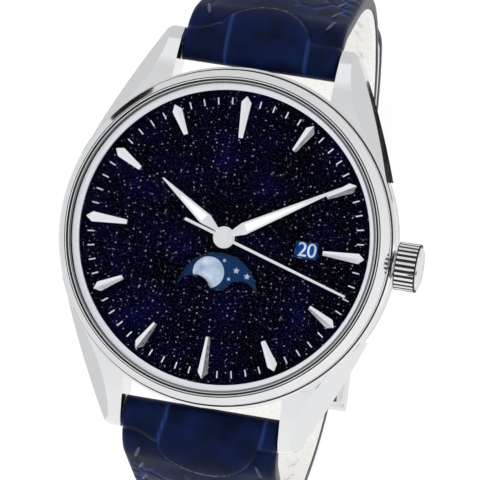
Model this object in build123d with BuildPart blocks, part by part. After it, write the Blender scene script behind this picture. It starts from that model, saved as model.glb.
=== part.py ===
from build123d import *
import os
from math import atan2, cos, degrees, hypot, radians, sin

# A self-winding dress watch with a moon phase and a date, its strap buckled in a closed loop.
# +Z leaves the dial, +Y points to 12 and +X to 3, where the crown is. The origin is on the
# axis of the hands, at the outer face of the case back. All lengths are in millimetres.

# Clearances
fit_gap = 0.01
running_gap = 0.04
loose_gap = 0.1
overrun = 1.0

# Case, radii and heights
case_radius = 21.0
case_bottom = 0.9
case_edge = 0.55
case_top = 7.7
movement_bore = 16.05
case_floor = 1.4
lug_reach = 4.1
lug_gap = 20.0
lug_tip_width = 1.8
lug_bottom = 0.35
spring_bar_reach = 2.0
spring_bar_height = 2.6

# Case back and its glass
back_radius = 17.5
back_edge = 0.3
back_ring_width = 4.6
back_thread_inset = 1.5
back_lip = 0.25
back_glass_ledge = 0.4
back_glass_thickness = 1.0
back_ring_top = 2.4
gasket_inset = 0.4
gasket_width = 0.6
gasket_thickness = 0.35
notch_count = 6
notch_length = 2.4
notch_width = 1.0
notch_depth = 0.4

# Bezel, glass and inner flange
bezel_inset = 0.5
bezel_foot = 0.3
bezel_height = 2.7
bezel_slope_drop = 1.65
bezel_top_width = 0.3
bezel_step = 0.12
glass_radius = 18.98
glass_gasket_wall = 0.32
glass_gasket_foot = 0.15
glass_edge_height = 1.05
glass_bevel = 0.25
glass_dome = 0.3
flange_inner = 18.2
flange_lip = 18.05
flange_lip_height = 1.05
flange_break = 18.3
flange_break_height = 1.2
flange_top_inner = 18.72
flange_outer = 19.05
flange_height = 1.35

# Dial
dial_radius = 18.6
dial_thickness = 0.4
dial_hole = 1.0
window_near = 8.75
window_far = 11.6
window_height = 2.0
moon_axis_from_centre = 6.95
aperture_radius = 5.06
aperture_floor_rise = 0.48
hump_radius = 2.1
hump_spread = 2.87
hump_drop = 0.15

# Applied markers
marker_outer = 17.45
marker_inner = 13.55
long_marker_inner = 12.3
marker_widest_in = 0.7
marker_width = 1.3
marker_root_width = 0.58
marker_tip_width = 0.12
marker_height = 0.5
marker_edge_height = 0.2
mark_inner = 16.35
mark_outer = 17.2
mark_width = 0.14
mark_height = 0.05
hours = 12
minutes = 60

# Hands, lengths from the axis; the angles run clockwise from 12 in degrees
hour_tip = 10.6
hour_shoulder = 3.1
hour_width = 1.58
hour_hub = 1.35
hour_lume_end = 7.3
hour_angle = 304.8
minute_tip = 15.7
minute_shoulder = 2.7
minute_width = 1.5
minute_hub = 1.15
minute_lume_end = 11.0
minute_angle = 58.6
seconds_tip = 16.7
seconds_tail = 5.3
seconds_width = 0.36
seconds_tip_width = 0.3
seconds_hub = 0.75
seconds_angle = 106.8
hand_neck_width = 0.75
hand_tip_width = 0.16
hand_thickness = 0.22
hand_edge_thickness = 0.1
hour_hand_above_dial = 0.5
minute_hand_above_dial = 0.84
seconds_hand_above_dial = 1.15
seconds_thickness = 0.12
lume_inset = 0.28
lume_thickness = 0.16

# Movement levels above the case back's outer face
bridge_bottom = 2.75
bridge_top = 3.45
pocket_top = 5.2
plate_top = 6.2
movement_radius = 12.8
pocket_radius = 11.4
holder_bottom = 2.45
dial_bottom = 7.3
ledge_inner = 10.9
ledge_height = 0.6

# Gear train: teeth, modules and the heights of each gear
centre_teeth = 80
centre_module = 0.10
third_pinion_teeth = 10
third_teeth = 75
third_module = 0.10588
fourth_pinion_teeth = 10
fourth_teeth = 72
fourth_module = 0.11
escape_pinion_teeth = 6
escape_teeth = 15
escape_radius = 1.9
barrel_teeth = 84
centre_pinion_teeth = 12
barrel_module = 0.13
third_direction = -60.0
escape_direction = -150.0
barrel_direction = 60.0
balance_direction = 255.0
pallet_to_balance = 2.21
fourth_wheel_z = 3.5
wheel_thickness = 0.12
fourth_pinion_z = 3.62
fourth_pinion_top = 3.86
third_wheel_z = 3.68
centre_wheel_z = 3.94
third_pinion_z = 3.89
third_pinion_top = 4.11
escape_pinion_z = 3.46
escape_pinion_top = 3.66
escape_wheel_z = 4.85
barrel_drum_z = 4.15
barrel_drum_top = 5.1
barrel_drum_radius = 4.6
barrel_wall = 0.25
barrel_teeth_z = 4.75
barrel_teeth_thickness = 0.3
centre_pinion_z = 4.68
centre_pinion_top = 5.12
arbor_radius = 0.18
pivot_radius = 0.12
pivot_bottom = 2.95
pivot_length = 0.35
centre_tube_radius = 0.38
centre_tube_bore = 0.18
fourth_arbor_radius = 0.14
barrel_arbor_radius = 0.6
mainspring_inner = 0.75
mainspring_turns = 7
mainspring_pitch = 0.5
mainspring_strip = 0.09
balance_radius = 3.2
balance_rim = 0.4
balance_z = 3.9
balance_rim_height = 0.4
balance_arm_width = 0.5
roller_radius = 0.8
roller_z = 4.6
hairspring_inner = 0.42
hairspring_turns = 4
hairspring_pitch = 0.48
hairspring_strip = 0.06
hairspring_z = 3.62
hairspring_height = 0.12
stud_arm_half = 0.35
fork_width = 0.5
pallet_reach = 1.45
pallet_spread = 58.0
pallet_clearance = 0.2
pallet_bridge_bottom = 4.4
pallet_bridge_top = 4.6
pallet_foot_radius = 0.5
pallet_bridge_feet = ((-6.9, -3.9), (-1.9, -5.6))
jewel_radius = 0.55
jewel_height = 0.45
cock_width = 3.0

# Winding work
stem_height = 4.9
stem_radius = 0.45
stem_inner_end = 6.6
ratchet_teeth = 48
crown_wheel_teeth = 28
winding_module = 0.2
winding_z = 2.45
winding_thickness = 0.25
crown_wheel_boss = 1.9
winding_pinion_x = 9.7
winding_pinion_length = 0.6
winding_pinion_teeth = 14
winding_pinion_module = 0.12
clutch_x = 8.3
clutch_length = 1.25
clutch_radius = 0.85
crown_tube_radius = 1.1
crown_tube_bore = 0.62
crown_tube_reach = 1.48
crown_radius = 3.0
crown_gap = 0.12
crown_length = 3.08
crown_cap_step = 0.35
crown_edge = 0.2
crown_cavity = 1.65
crown_cavity_depth = 1.88
crown_socket_depth = 0.6
crown_flutes = 28
flute_radius = 0.2
crown_gasket_inset = 0.03
crown_gasket_length = 0.5

# Rotor
rotor_radius = 12.3
rotor_hub_radius = 2.6
rotor_bottom = 1.5
rotor_plate = 0.35
rotor_rim_top = 2.3
rotor_rim_inner = 9.8
stud_radius = 0.95
stud_head_radius = 1.6
stud_head_bottom = 1.3

# Motion work and calendar
cannon_teeth = 12
minute_wheel_teeth = 36
cannon_module = 0.12
minute_pinion_teeth = 10
hour_wheel_teeth = 40
hour_module = 0.1152
hour_pinion_teeth = 20
idler_teeth = 30
drive_teeth = 40
minute_wheel_direction = 20.0
idler_direction = 140.0
date_drive_direction = 155.0
moon_drive_direction = 240.0
cannon_radius = 0.58
cannon_bore = 0.40
hour_tube_radius = 0.85
hour_tube_bore = 0.62
post_radius = 0.25
cannon_gear_z = 6.24
cannon_gear_top = 6.42
hour_gear_z = 6.46
hour_gear_top = 6.62
calendar_gear_z = 6.65
calendar_gear_top = 6.8
date_ring_z = 6.84
date_ring_top = 7.02
moon_disc_z = 7.08
moon_disc_top = 7.2
finger_width = 0.5
date_finger_reach = 1.95
moon_finger_reach = 1.78
date_ring_outer = 12.2
date_ring_inner = 8.75
date_teeth = 31
date_tooth_height = 0.4
date_tooth_share = 0.35
moon_teeth = 59
moon_disc_radius = 5.0
moon_tooth_height = 0.28
moon_post_radius = 0.5
moon_radius = 1.95
moon_orbit = 2.83
moon_bearing = 120.0
figure_height = 0.03
star_waist_share = 0.42
star_points = 5
star_places = ((0.32, 4.16, 0.28), (1.96, 3.17, 0.45), (3.4, 2.64, 0.45), (1.2, 2.0, 0.26))

# Screws of the movement
screw_head_radius = 0.6
screw_head_height = 0.2
screw_radius = 0.3
screw_length = 1.6
screw_circle = 12.05
screw_slot = 0.12
bridge_screw_directions = (35.0, 100.0, 170.0, 310.0)

# Strap and buckle
strap_thickness = 2.2
strap_pad = 1.95
strap_end_radius = 1.9
strap_lug_width = 19.6
strap_buckle_width = 17.6
strap_taper_end = -33.0
lug_bend_radius = 5.0
lug_bend_angle = 67.0
drop_length = 8.0
side_bend_radius = 30.0
short_corner_radius = 22.0
stack_gap = 0.4
tail_angle = 63.0
tail_tip_share = 0.8
spring_bar_radius = 0.75
spring_bar_tip_radius = 0.42
spring_bar_tip_length = 1.1
buckle_bar_past_middle = 7.0
buckle_eye_radius = 1.4
buckle_bar_radius = 0.6
keeper_wall = 0.95
keeper_gap = 0.1
keeper_side_gap = 0.3
keeper_width = 4.6
fixed_keeper_from_middle = 4.7
free_keeper_angle = 2.0
buckle_arm = 1.4
buckle_arm_height = 2.5
front_bar_from_middle = 19.0
front_bar_width = 2.6
front_bar_height = 2.35
tang_width = 1.6
tang_thickness = 0.9
tang_ring_radius = 1.3
tang_knee_from_bar = 2.3
tang_knee_drop = 1.0
tang_bend_from_bar = 3.9
tang_slot_start = 1.4
tang_slot_end = 5.4
tang_slot_gap = 0.4
tang_hole_radius = 0.8
tang_hole_pitch = 6.2
tang_hole_count = 6

# Shape of a gear tooth, as shares of the module and of the angle from tooth to tooth
tooth_tip_share = 0.9
tooth_root_share = 1.15
root_half_share = 0.27
tip_half_share = 0.12

# Values worked out from the sizes above
back_window = back_radius - back_ring_width
back_glass_radius = back_window + back_glass_ledge
back_thread_radius = back_radius - back_thread_inset
gasket_outer = back_radius - gasket_inset
gasket_inner = gasket_outer - gasket_width
case_seat_radius = case_radius - case_edge
bezel_radius = case_radius - bezel_inset
lug_to_lug = 2 * (case_radius + lug_reach)
spring_bar_from_axis = case_radius + spring_bar_reach
crown_start = case_radius + crown_gap
crown_end = crown_start + crown_length
crown_floor = crown_start + crown_cavity_depth
crown_socket_end = crown_floor + crown_socket_depth
crown_gasket_start = crown_start + crown_gasket_inset
crown_tube_end = crown_start + crown_tube_reach
dial_top = dial_bottom + dial_thickness
flange_top = dial_top + flange_height
glass_bottom = flange_top + glass_gasket_foot
glass_seat = glass_radius + glass_gasket_wall
bezel_top = case_top + bezel_height
hour_hand_z = dial_top + hour_hand_above_dial
minute_hand_z = dial_top + minute_hand_above_dial
seconds_hand_z = dial_top + seconds_hand_above_dial
third_distance = centre_module * (centre_teeth + third_pinion_teeth) / 2
escape_distance = fourth_module * (fourth_teeth + escape_pinion_teeth) / 2
barrel_distance = barrel_module * (barrel_teeth + centre_pinion_teeth) / 2
motion_distance = cannon_module * (cannon_teeth + minute_wheel_teeth) / 2
idler_distance = hour_module * (hour_pinion_teeth + idler_teeth) / 2
drive_distance = hour_module * (idler_teeth + drive_teeth) / 2
pallet_distance = escape_radius / cos(radians(30))


def around(centre, distance, direction):
    """The point at a distance and a direction, in degrees from +X, from a centre."""
    turn = radians(direction)
    return (centre[0] + distance * cos(turn), centre[1] + distance * sin(turn))


centre = (0, 0)
third = around(centre, third_distance, third_direction)
escape = around(centre, escape_distance, escape_direction)
pallet = around(escape, pallet_distance, balance_direction)
balance = around(pallet, pallet_to_balance, balance_direction)
cock_direction = degrees(atan2(balance[1], balance[0]))
barrel = around(centre, barrel_distance, barrel_direction)
winding_distance = winding_module * (ratchet_teeth + crown_wheel_teeth) / 2
crown_wheel_x = barrel[0] + (winding_distance**2 - barrel[1] ** 2) ** 0.5
crown_wheel_at = (crown_wheel_x, 0)
crown_wheel_direction = degrees(atan2(-barrel[1], crown_wheel_x - barrel[0]))
minute_wheel_at = around(centre, motion_distance, minute_wheel_direction)
idler_at = around(centre, idler_distance, idler_direction)
date_drive_at = around(idler_at, drive_distance, date_drive_direction)
moon_drive_at = around(idler_at, drive_distance, moon_drive_direction)
moon_at = (0, -moon_axis_from_centre)

bend = radians(lug_bend_angle)
drop_start = Vector(
    spring_bar_from_axis + lug_bend_radius * sin(bend),
    spring_bar_height - lug_bend_radius * (1 - cos(bend)),
)
drop_end = drop_start + Vector(cos(bend), -sin(bend)) * drop_length
side_end = drop_end + Vector(1 - sin(bend), -cos(bend)) * side_bend_radius
strap_half = strap_thickness / 2
strap_stack = strap_thickness + stack_gap
long_corner_radius = short_corner_radius + strap_stack
corner_height = side_end.Y
short_corner_at = side_end.X - short_corner_radius
long_corner_at = side_end.X - long_corner_radius
short_flat = corner_height - short_corner_radius
long_flat = corner_height - long_corner_radius
foot_height = long_flat - strap_half - keeper_gap - keeper_wall
keeper_top = short_flat + strap_half + keeper_gap
keeper_half = strap_buckle_width / 2 + keeper_side_gap


def gear_points(teeth, module, tooth_at, at):
    """The outline of a gear with a tooth centred on the direction tooth_at, in degrees."""
    pitch = 360 / teeth
    tip = module * (teeth / 2 + tooth_tip_share)
    root = module * (teeth / 2 - tooth_root_share)
    corners = ((root, -root_half_share), (tip, -tip_half_share), (tip, tip_half_share), (root, root_half_share))
    return [
        around(at, radius, tooth_at + pitch * (tooth + share))
        for tooth in range(teeth)
        for radius, share in corners
    ]


def meshing(direction, teeth):
    """The tooth_at of a gear whose gap faces a tooth that comes along the direction given."""
    return direction + 180 + 180 / teeth


def arbor_part(at, gears=(), rounds=(), bores=(), windows=()):
    """Gears and round steps on one axis, less its bores and the windows between its spokes."""
    with BuildPart() as piece:
        for teeth, module, tooth_at, bottom, top in gears:
            with BuildSketch(Plane.XY.offset(bottom)):
                with BuildLine():
                    Polyline(*gear_points(teeth, module, tooth_at, at), close=True)
                make_face()
            extrude(amount=top - bottom)
        for count, orbit, radius, bottom, top in windows:
            with BuildSketch(Plane.XY.offset(bottom)):
                with Locations(at):
                    with PolarLocations(orbit, count):
                        Circle(radius)
            extrude(amount=top - bottom, mode=Mode.SUBTRACT)
        for radius, bottom, top in rounds:
            with BuildSketch(Plane.XY.offset(bottom)):
                with Locations(at):
                    Circle(radius)
            extrude(amount=top - bottom)
        for radius, bottom, top in bores:
            with BuildSketch(Plane.XY.offset(bottom)):
                with Locations(at):
                    Circle(radius)
            extrude(amount=top - bottom, mode=Mode.SUBTRACT)
    return piece


def turned_part(outline):
    """A ring or disc turned about the axis of the hands from (radius, height) points."""
    with BuildPart() as piece:
        with BuildSketch(Plane.XZ):
            with BuildLine():
                Polyline(*outline, close=True)
            make_face()
        revolve(axis=Axis.Z)
    return piece


def tube_part(outer, inner, start, end, height):
    """A round tube along X, as the stem's pieces are."""
    with BuildPart() as piece:
        with BuildSketch(Plane.YZ.offset(start)):
            with Locations((0, height)):
                Circle(outer)
                Circle(inner, mode=Mode.SUBTRACT)
        extrude(amount=end - start)
    return piece


def spiral_part(at, inner, turns, pitch, strip, bottom, height):
    """A flat spiral spring of half-turn arcs, each one larger than the last."""
    with BuildPart() as piece:
        with BuildSketch(Plane.XY.offset(bottom)):
            with BuildLine():
                ends = []
                for side in (-strip / 2, strip / 2):
                    point = Vector(at[0] + inner + side, at[1])
                    first = point
                    heading = 1
                    for half_turn in range(2 * turns):
                        radius = inner + side + half_turn * pitch / 2
                        arc = JernArc(point, (0, heading), radius, 180)
                        point = arc @ 1
                        heading = -heading
                    ends.append((first, point))
                Line(ends[0][0], ends[1][0])
                Line(ends[0][1], ends[1][1])
            make_face()
        extrude(amount=height)
    return piece


# Mid-case: a turned band with four lugs
lug_outer = lug_gap / 2 + lug_tip_width
lug_tip = lug_to_lug / 2
lug_root_x = case_radius * 0.88
lug_root_y = (case_radius**2 - lug_root_x**2) ** 0.5
lug_root_inside = case_radius * 0.72
lug_side_bulge = 0.25
lug_tip_round = 1.15
lug_tip_top = 4.3
lug_root_top = case_top - case_edge
lug_mid_top = 6.75
facet_slope = 40.0
facet_root_inset = 1.4
facet_root_rise = 2.2
facet_tip_inset = 0.4
facet_tip_back = 1.6
facet_root = Vector(lug_root_x - facet_root_inset, lug_root_y + facet_root_rise, lug_root_top)
facet_tip = Vector(lug_outer - facet_tip_inset, lug_tip - facet_tip_back, lug_tip_top + lug_bottom)

with BuildPart() as lug:
    with BuildSketch(Plane.XY.offset(lug_bottom)):
        with BuildLine():
            Polyline(
                (lug_root_x, lug_root_y),
                (lug_root_inside, lug_root_y),
                (lug_gap / 2, lug_root_inside),
                (lug_gap / 2, lug_tip),
                (lug_outer, lug_tip),
            )
            ThreePointArc(
                (lug_outer, lug_tip),
                ((lug_outer + lug_root_x) / 2 + lug_side_bulge, (lug_tip + lug_root_y) / 2 + lug_side_bulge),
                (lug_root_x, lug_root_y),
            )
        make_face()
    extrude(amount=lug_root_top - lug_bottom)
    outer_corner = lug.edges().filter_by(Axis.Z).sort_by_distance((lug_outer, lug_tip, case_floor))[0]
    fillet(outer_corner, lug_tip_round)
    with BuildSketch(Plane.YZ):
        with BuildLine():
            Polyline(
                (lug_tip - lug_tip_round, lug_tip_top),
                (lug_tip, lug_tip_top - lug_tip_round),
                (lug_tip, case_floor),
                (lug_tip - lug_tip_round, lug_bottom),
                (lug_root_y, lug_bottom),
                (lug_root_y, lug_root_top),
                (lug_gap / 2 + lug_tip_width, lug_root_top),
            )
            ThreePointArc(
                (lug_gap / 2 + lug_tip_width, lug_root_top),
                (spring_bar_from_axis - strap_end_radius * 2, lug_mid_top - case_edge),
                (lug_tip - lug_tip_round, lug_tip_top),
            )
        make_face()
    extrude(amount=case_radius, mode=Mode.INTERSECT)
    facet_run = facet_tip - facet_root
    facet_out = Vector(facet_run.Y, -facet_run.X).normalized()
    facet_down = facet_out * cos(radians(facet_slope)) - Vector(0, 0, 1) * sin(radians(facet_slope))
    with BuildSketch(Plane(origin=facet_root, x_dir=facet_run, z_dir=facet_down.cross(facet_run))):
        Rectangle(2 * lug_to_lug, 2 * lug_to_lug)
    extrude(amount=case_radius, mode=Mode.SUBTRACT)

with BuildPart() as mid_case:
    with BuildSketch(Plane.XZ):
        with BuildLine():
            Polyline(
                (back_radius + loose_gap / 2, case_bottom),
                (case_radius - 3 * case_edge, case_bottom),
                (case_radius - case_edge, case_bottom + 2 * case_edge),
                (case_radius, case_bottom + 4 * case_edge),
                (case_radius, case_top - case_edge),
                (case_seat_radius, case_top),
                (dial_radius + fit_gap, case_top),
                (dial_radius + fit_gap, dial_bottom),
                (movement_bore, dial_bottom),
                (movement_bore, case_floor),
                (back_radius + loose_gap / 2, case_floor),
                close=True,
            )
        make_face()
    revolve(axis=Axis.Z)
    add(lug.part)
    add(mirror(lug.part, about=Plane.YZ, mode=Mode.PRIVATE))
    add(mirror(lug.part, about=Plane.XZ, mode=Mode.PRIVATE))
    add(mirror(mirror(lug.part, about=Plane.YZ, mode=Mode.PRIVATE), about=Plane.XZ, mode=Mode.PRIVATE))
    with BuildSketch(Plane.XY.offset(lug_bottom)):
        Circle(movement_bore)
    extrude(amount=dial_bottom - lug_bottom, mode=Mode.SUBTRACT)
    with BuildSketch(Plane.XY.offset(lug_bottom)):
        Circle(back_radius + loose_gap / 2)
    extrude(amount=case_floor - lug_bottom, mode=Mode.SUBTRACT)
    bar_hole_reach = lug_gap / 2 + spring_bar_tip_length + loose_gap
    with BuildSketch(Plane.YZ):
        with Locations((spring_bar_from_axis, spring_bar_height), (-spring_bar_from_axis, spring_bar_height)):
            Circle(spring_bar_tip_radius + running_gap)
    extrude(amount=bar_hole_reach, both=True, mode=Mode.SUBTRACT)
    with BuildSketch(Plane.YZ.offset(movement_bore - overrun)):
        with Locations((0, stem_height)):
            Circle(crown_tube_radius + fit_gap)
    extrude(amount=case_radius, mode=Mode.SUBTRACT)

bezel = turned_part(
    (
        (flange_outer + fit_gap, case_top),
        (case_seat_radius - bezel_step, case_top),
        (case_seat_radius - bezel_step, case_top + bezel_step),
        (bezel_radius, case_top + bezel_foot),
        (bezel_radius, bezel_top - bezel_slope_drop),
        (glass_seat + bezel_top_width, bezel_top - bezel_step),
        (glass_seat + bezel_top_width / 2, bezel_top - bezel_step),
        (glass_seat + bezel_top_width / 2, bezel_top),
        (glass_seat + fit_gap, bezel_top),
        (glass_seat + fit_gap, flange_top),
        (flange_outer + fit_gap, flange_top),
    )
)

rehaut_ring = turned_part(
    (
        (flange_inner, dial_top),
        (flange_outer, dial_top),
        (flange_outer, flange_top),
        (flange_top_inner, flange_top),
        (flange_break, dial_top + flange_break_height),
        (flange_lip, dial_top + flange_lip_height),
    )
)

crystal_gasket = turned_part(
    (
        (flange_top_inner, flange_top),
        (glass_seat, flange_top),
        (glass_seat, bezel_top - bezel_step),
        (glass_radius + fit_gap, bezel_top - bezel_step),
        (glass_radius + fit_gap, glass_bottom),
        (flange_top_inner, glass_bottom),
    )
)

with BuildPart() as crystal:
    glass_shoulder = glass_bottom + glass_edge_height
    with BuildSketch(Plane.XZ):
        with BuildLine():
            Polyline(
                (0, glass_shoulder + glass_bevel + glass_dome),
                (0, glass_bottom),
                (glass_radius, glass_bottom),
                (glass_radius, glass_shoulder),
                (glass_radius - glass_bevel, glass_shoulder + glass_bevel),
            )
            bevel_end = (glass_radius - glass_bevel, glass_shoulder + glass_bevel)
            dome_radius = (bevel_end[0] ** 2 + glass_dome**2) / (2 * glass_dome)
            ThreePointArc(
                bevel_end,
                (
                    bevel_end[0] / 2,
                    bevel_end[1] + glass_dome - dome_radius + (dome_radius**2 - bevel_end[0] ** 2 / 4) ** 0.5,
                ),
                (0, bevel_end[1] + glass_dome),
            )
        make_face()
    revolve(axis=Axis.Z)

with BuildPart() as case_back:
    with BuildSketch(Plane.XZ):
        with BuildLine():
            Polyline(
                (back_window, 0),
                (back_radius - back_edge, 0),
                (back_radius, back_edge),
                (back_radius, case_floor),
                (gasket_outer, case_floor),
                (gasket_outer, case_floor - gasket_thickness),
                (gasket_inner, case_floor - gasket_thickness),
                (gasket_inner, case_floor),
                (back_thread_radius, case_floor),
                (back_thread_radius, back_ring_top),
                (back_glass_radius + fit_gap, back_ring_top),
                (back_glass_radius + fit_gap, back_lip),
                (back_window, back_lip),
                close=True,
            )
        make_face()
    revolve(axis=Axis.Z)
    with BuildSketch(Plane.XY):
        with PolarLocations(back_radius - notch_width / 2, notch_count):
            Rectangle(notch_width + overrun / 2, notch_length)
    extrude(amount=notch_depth, mode=Mode.SUBTRACT)

back_gasket = turned_part(
    (
        (gasket_inner, case_floor - gasket_thickness),
        (gasket_outer, case_floor - gasket_thickness),
        (gasket_outer, case_floor),
        (gasket_inner, case_floor),
    )
)

back_crystal = arbor_part(
    centre, rounds=((back_glass_radius, back_lip, back_lip + back_glass_thickness),)
)

# Crown, its tube, gasket and stem
crown_tube = tube_part(crown_tube_radius, crown_tube_bore, movement_bore + loose_gap, crown_tube_end, stem_height)
crown_gasket = tube_part(
    crown_cavity - running_gap,
    crown_tube_radius + running_gap,
    crown_gasket_start,
    crown_gasket_start + crown_gasket_length,
    stem_height,
)

with BuildPart() as crown:
    with BuildSketch(Plane.XZ):
        with BuildLine():
            Polyline(
                (crown_start, stem_height + crown_cavity),
                (crown_start, stem_height + crown_radius - crown_edge),
                (crown_start + crown_edge, stem_height + crown_radius),
                (crown_end - crown_cap_step - crown_edge, stem_height + crown_radius),
                (crown_end - crown_cap_step, stem_height + crown_radius - 2 * crown_edge),
                (crown_end - crown_edge, stem_height + crown_radius - 2 * crown_edge),
                (crown_end, stem_height + crown_radius - 4 * crown_edge),
                (crown_end, stem_height),
                (crown_socket_end, stem_height),
                (crown_socket_end, stem_height + stem_radius + fit_gap),
                (crown_floor, stem_height + stem_radius + fit_gap),
                (crown_floor, stem_height + crown_cavity),
                close=True,
            )
        make_face()
    revolve(axis=Axis((0, 0, stem_height), (1, 0, 0)))
    with BuildSketch(Plane.YZ.offset(crown_start - overrun)):
        with Locations((0, stem_height)):
            with PolarLocations(crown_radius + flute_radius / 4, crown_flutes):
                Circle(flute_radius)
    extrude(amount=crown_end - crown_cap_step - crown_start + overrun, mode=Mode.SUBTRACT)

with BuildPart() as winding_stem:
    with BuildSketch(Plane.YZ.offset(stem_inner_end)):
        with Locations((0, stem_height)):
            Circle(stem_radius)
    extrude(amount=crown_socket_end - stem_inner_end)

# Dial with its date window and moon aperture
with BuildPart() as dial:
    with BuildSketch(Plane.XY.offset(dial_bottom)):
        Circle(dial_radius)
        Circle(dial_hole, mode=Mode.SUBTRACT)
        with Locations(((window_near + window_far) / 2, 0)):
            Rectangle(window_far - window_near, window_height, mode=Mode.SUBTRACT)
    extrude(amount=dial_thickness)
    with BuildSketch(Plane.XY.offset(dial_bottom)) as aperture:
        with Locations(moon_at):
            Circle(aperture_radius)
        with Locations((0, moon_at[1] + aperture_floor_rise - aperture_radius)):
            Rectangle(4 * aperture_radius, 2 * aperture_radius, mode=Mode.SUBTRACT)
        with Locations(
            (hump_spread, moon_at[1] - hump_drop),
            (-hump_spread, moon_at[1] - hump_drop),
        ):
            Circle(hump_radius, mode=Mode.SUBTRACT)
    extrude(amount=dial_thickness, mode=Mode.SUBTRACT)


def marker_part(inner, clock_angle):
    """One faceted dart at its hour, a ridge down its middle."""
    turned = Plane.XY.offset(dial_top).rotated((0, 0, -clock_angle))
    pointing = turned.y_dir
    half = marker_width / 2
    with BuildPart() as piece:
        with BuildSketch(turned):
            with BuildLine():
                Polyline(
                    (-marker_root_width / 2, inner),
                    (-half, marker_outer - marker_widest_in),
                    (-marker_tip_width / 2, marker_outer),
                    (marker_tip_width / 2, marker_outer),
                    (half, marker_outer - marker_widest_in),
                    (marker_root_width / 2, inner),
                    close=True,
                )
            make_face()
        extrude(amount=marker_height)
        with BuildSketch(Plane(origin=(0, 0, dial_top), x_dir=turned.x_dir, z_dir=-pointing)):
            with BuildLine():
                Polyline(
                    (-half, 0),
                    (-half, marker_edge_height),
                    (0, marker_height),
                    (half, marker_edge_height),
                    (half, 0),
                    close=True,
                )
            make_face()
        extrude(amount=-marker_outer, mode=Mode.INTERSECT)
    return piece


with BuildPart() as hour_markers:
    for hour in range(hours):
        marker_start = marker_inner if hour % 3 else long_marker_inner
        add(marker_part(marker_start, 360 / hours * hour).part)

with BuildPart() as minute_marks:
    with BuildSketch(Plane.XY.offset(dial_top)):
        for minute in range(minutes):
            if minute % 5:
                with Locations(around(centre, (mark_inner + mark_outer) / 2, 360 / minutes * minute)):
                    Rectangle(mark_outer - mark_inner, mark_width, rotation=360 / minutes * minute)
    extrude(amount=mark_height)


def lume_points(shoulder, width, tip, end):
    """The lume's outline: it follows the hand's edges, a rim's width inside them."""
    taper = (width - hand_tip_width) / (tip - shoulder)
    near = width / 2 - lume_inset
    far = (width - taper * (end - shoulder)) / 2 - lume_inset
    far = max(far, hand_tip_width / 2)
    return ((-near, shoulder + lume_inset), (-far, end), (far, end), (near, shoulder + lume_inset))


def hand_part(shoulder, width, tip, hub, bore, bottom, lume_end, clock_angle):
    """A faceted hand with an open slot for its lume, on a round hub."""
    turned = Plane.XY.offset(bottom).rotated((0, 0, -clock_angle))
    pointing = turned.y_dir
    half = width / 2
    neck = hand_neck_width / 2
    with BuildPart() as piece:
        with BuildSketch(turned):
            with BuildLine():
                Polyline(
                    (-neck, 0),
                    (-neck, hub),
                    (-half, shoulder),
                    (-hand_tip_width / 2, tip),
                    (hand_tip_width / 2, tip),
                    (half, shoulder),
                    (neck, hub),
                    (neck, 0),
                    close=True,
                )
            make_face()
        extrude(amount=hand_thickness)
        with BuildSketch(Plane(origin=(0, 0, bottom), x_dir=turned.x_dir, z_dir=-pointing)):
            with BuildLine():
                Polyline(
                    (-half, 0),
                    (-half, hand_edge_thickness),
                    (0, hand_thickness),
                    (half, hand_edge_thickness),
                    (half, 0),
                    close=True,
                )
            make_face()
        extrude(amount=-tip, mode=Mode.INTERSECT)
        with BuildSketch(turned):
            with BuildLine():
                Polyline(*lume_points(shoulder, width, tip, lume_end), close=True)
            make_face()
        extrude(amount=hand_thickness, mode=Mode.SUBTRACT)
        with BuildSketch(turned):
            Circle(hub)
        extrude(amount=hand_thickness)
        with BuildSketch(turned):
            Circle(bore)
        extrude(amount=hand_thickness, mode=Mode.SUBTRACT)
    return piece


def lume_part(shoulder, width, tip, bottom, lume_end, clock_angle):
    """The lume that fills a hand's slot."""
    with BuildPart() as piece:
        with BuildSketch(Plane.XY.offset(bottom).rotated((0, 0, -clock_angle))):
            with BuildLine():
                Polyline(*lume_points(shoulder, width, tip, lume_end), close=True)
            make_face()
        extrude(amount=lume_thickness)
    return piece


hour_hand = hand_part(
    hour_shoulder, hour_width, hour_tip, hour_hub, hour_tube_radius + fit_gap, hour_hand_z, hour_lume_end, hour_angle
)
hour_hand_lume = lume_part(hour_shoulder, hour_width, hour_tip, hour_hand_z, hour_lume_end, hour_angle)
minute_hand = hand_part(
    minute_shoulder,
    minute_width,
    minute_tip,
    minute_hub,
    cannon_radius + fit_gap,
    minute_hand_z,
    minute_lume_end,
    minute_angle,
)
minute_hand_lume = lume_part(
    minute_shoulder, minute_width, minute_tip, minute_hand_z, minute_lume_end, minute_angle
)

with BuildPart() as seconds_hand:
    with BuildSketch(Plane.XY.offset(seconds_hand_z).rotated((0, 0, -seconds_angle))):
        with BuildLine():
            Polyline(
                (-seconds_width / 2, -seconds_tail),
                (-seconds_width / 2, 0),
                (-seconds_tip_width / 2, seconds_tip),
                (seconds_tip_width / 2, seconds_tip),
                (seconds_width / 2, 0),
                (seconds_width / 2, -seconds_tail),
                close=True,
            )
        make_face()
        Circle(seconds_hub)
        Circle(fourth_arbor_radius + fit_gap, mode=Mode.SUBTRACT)
    extrude(amount=seconds_thickness)

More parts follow.
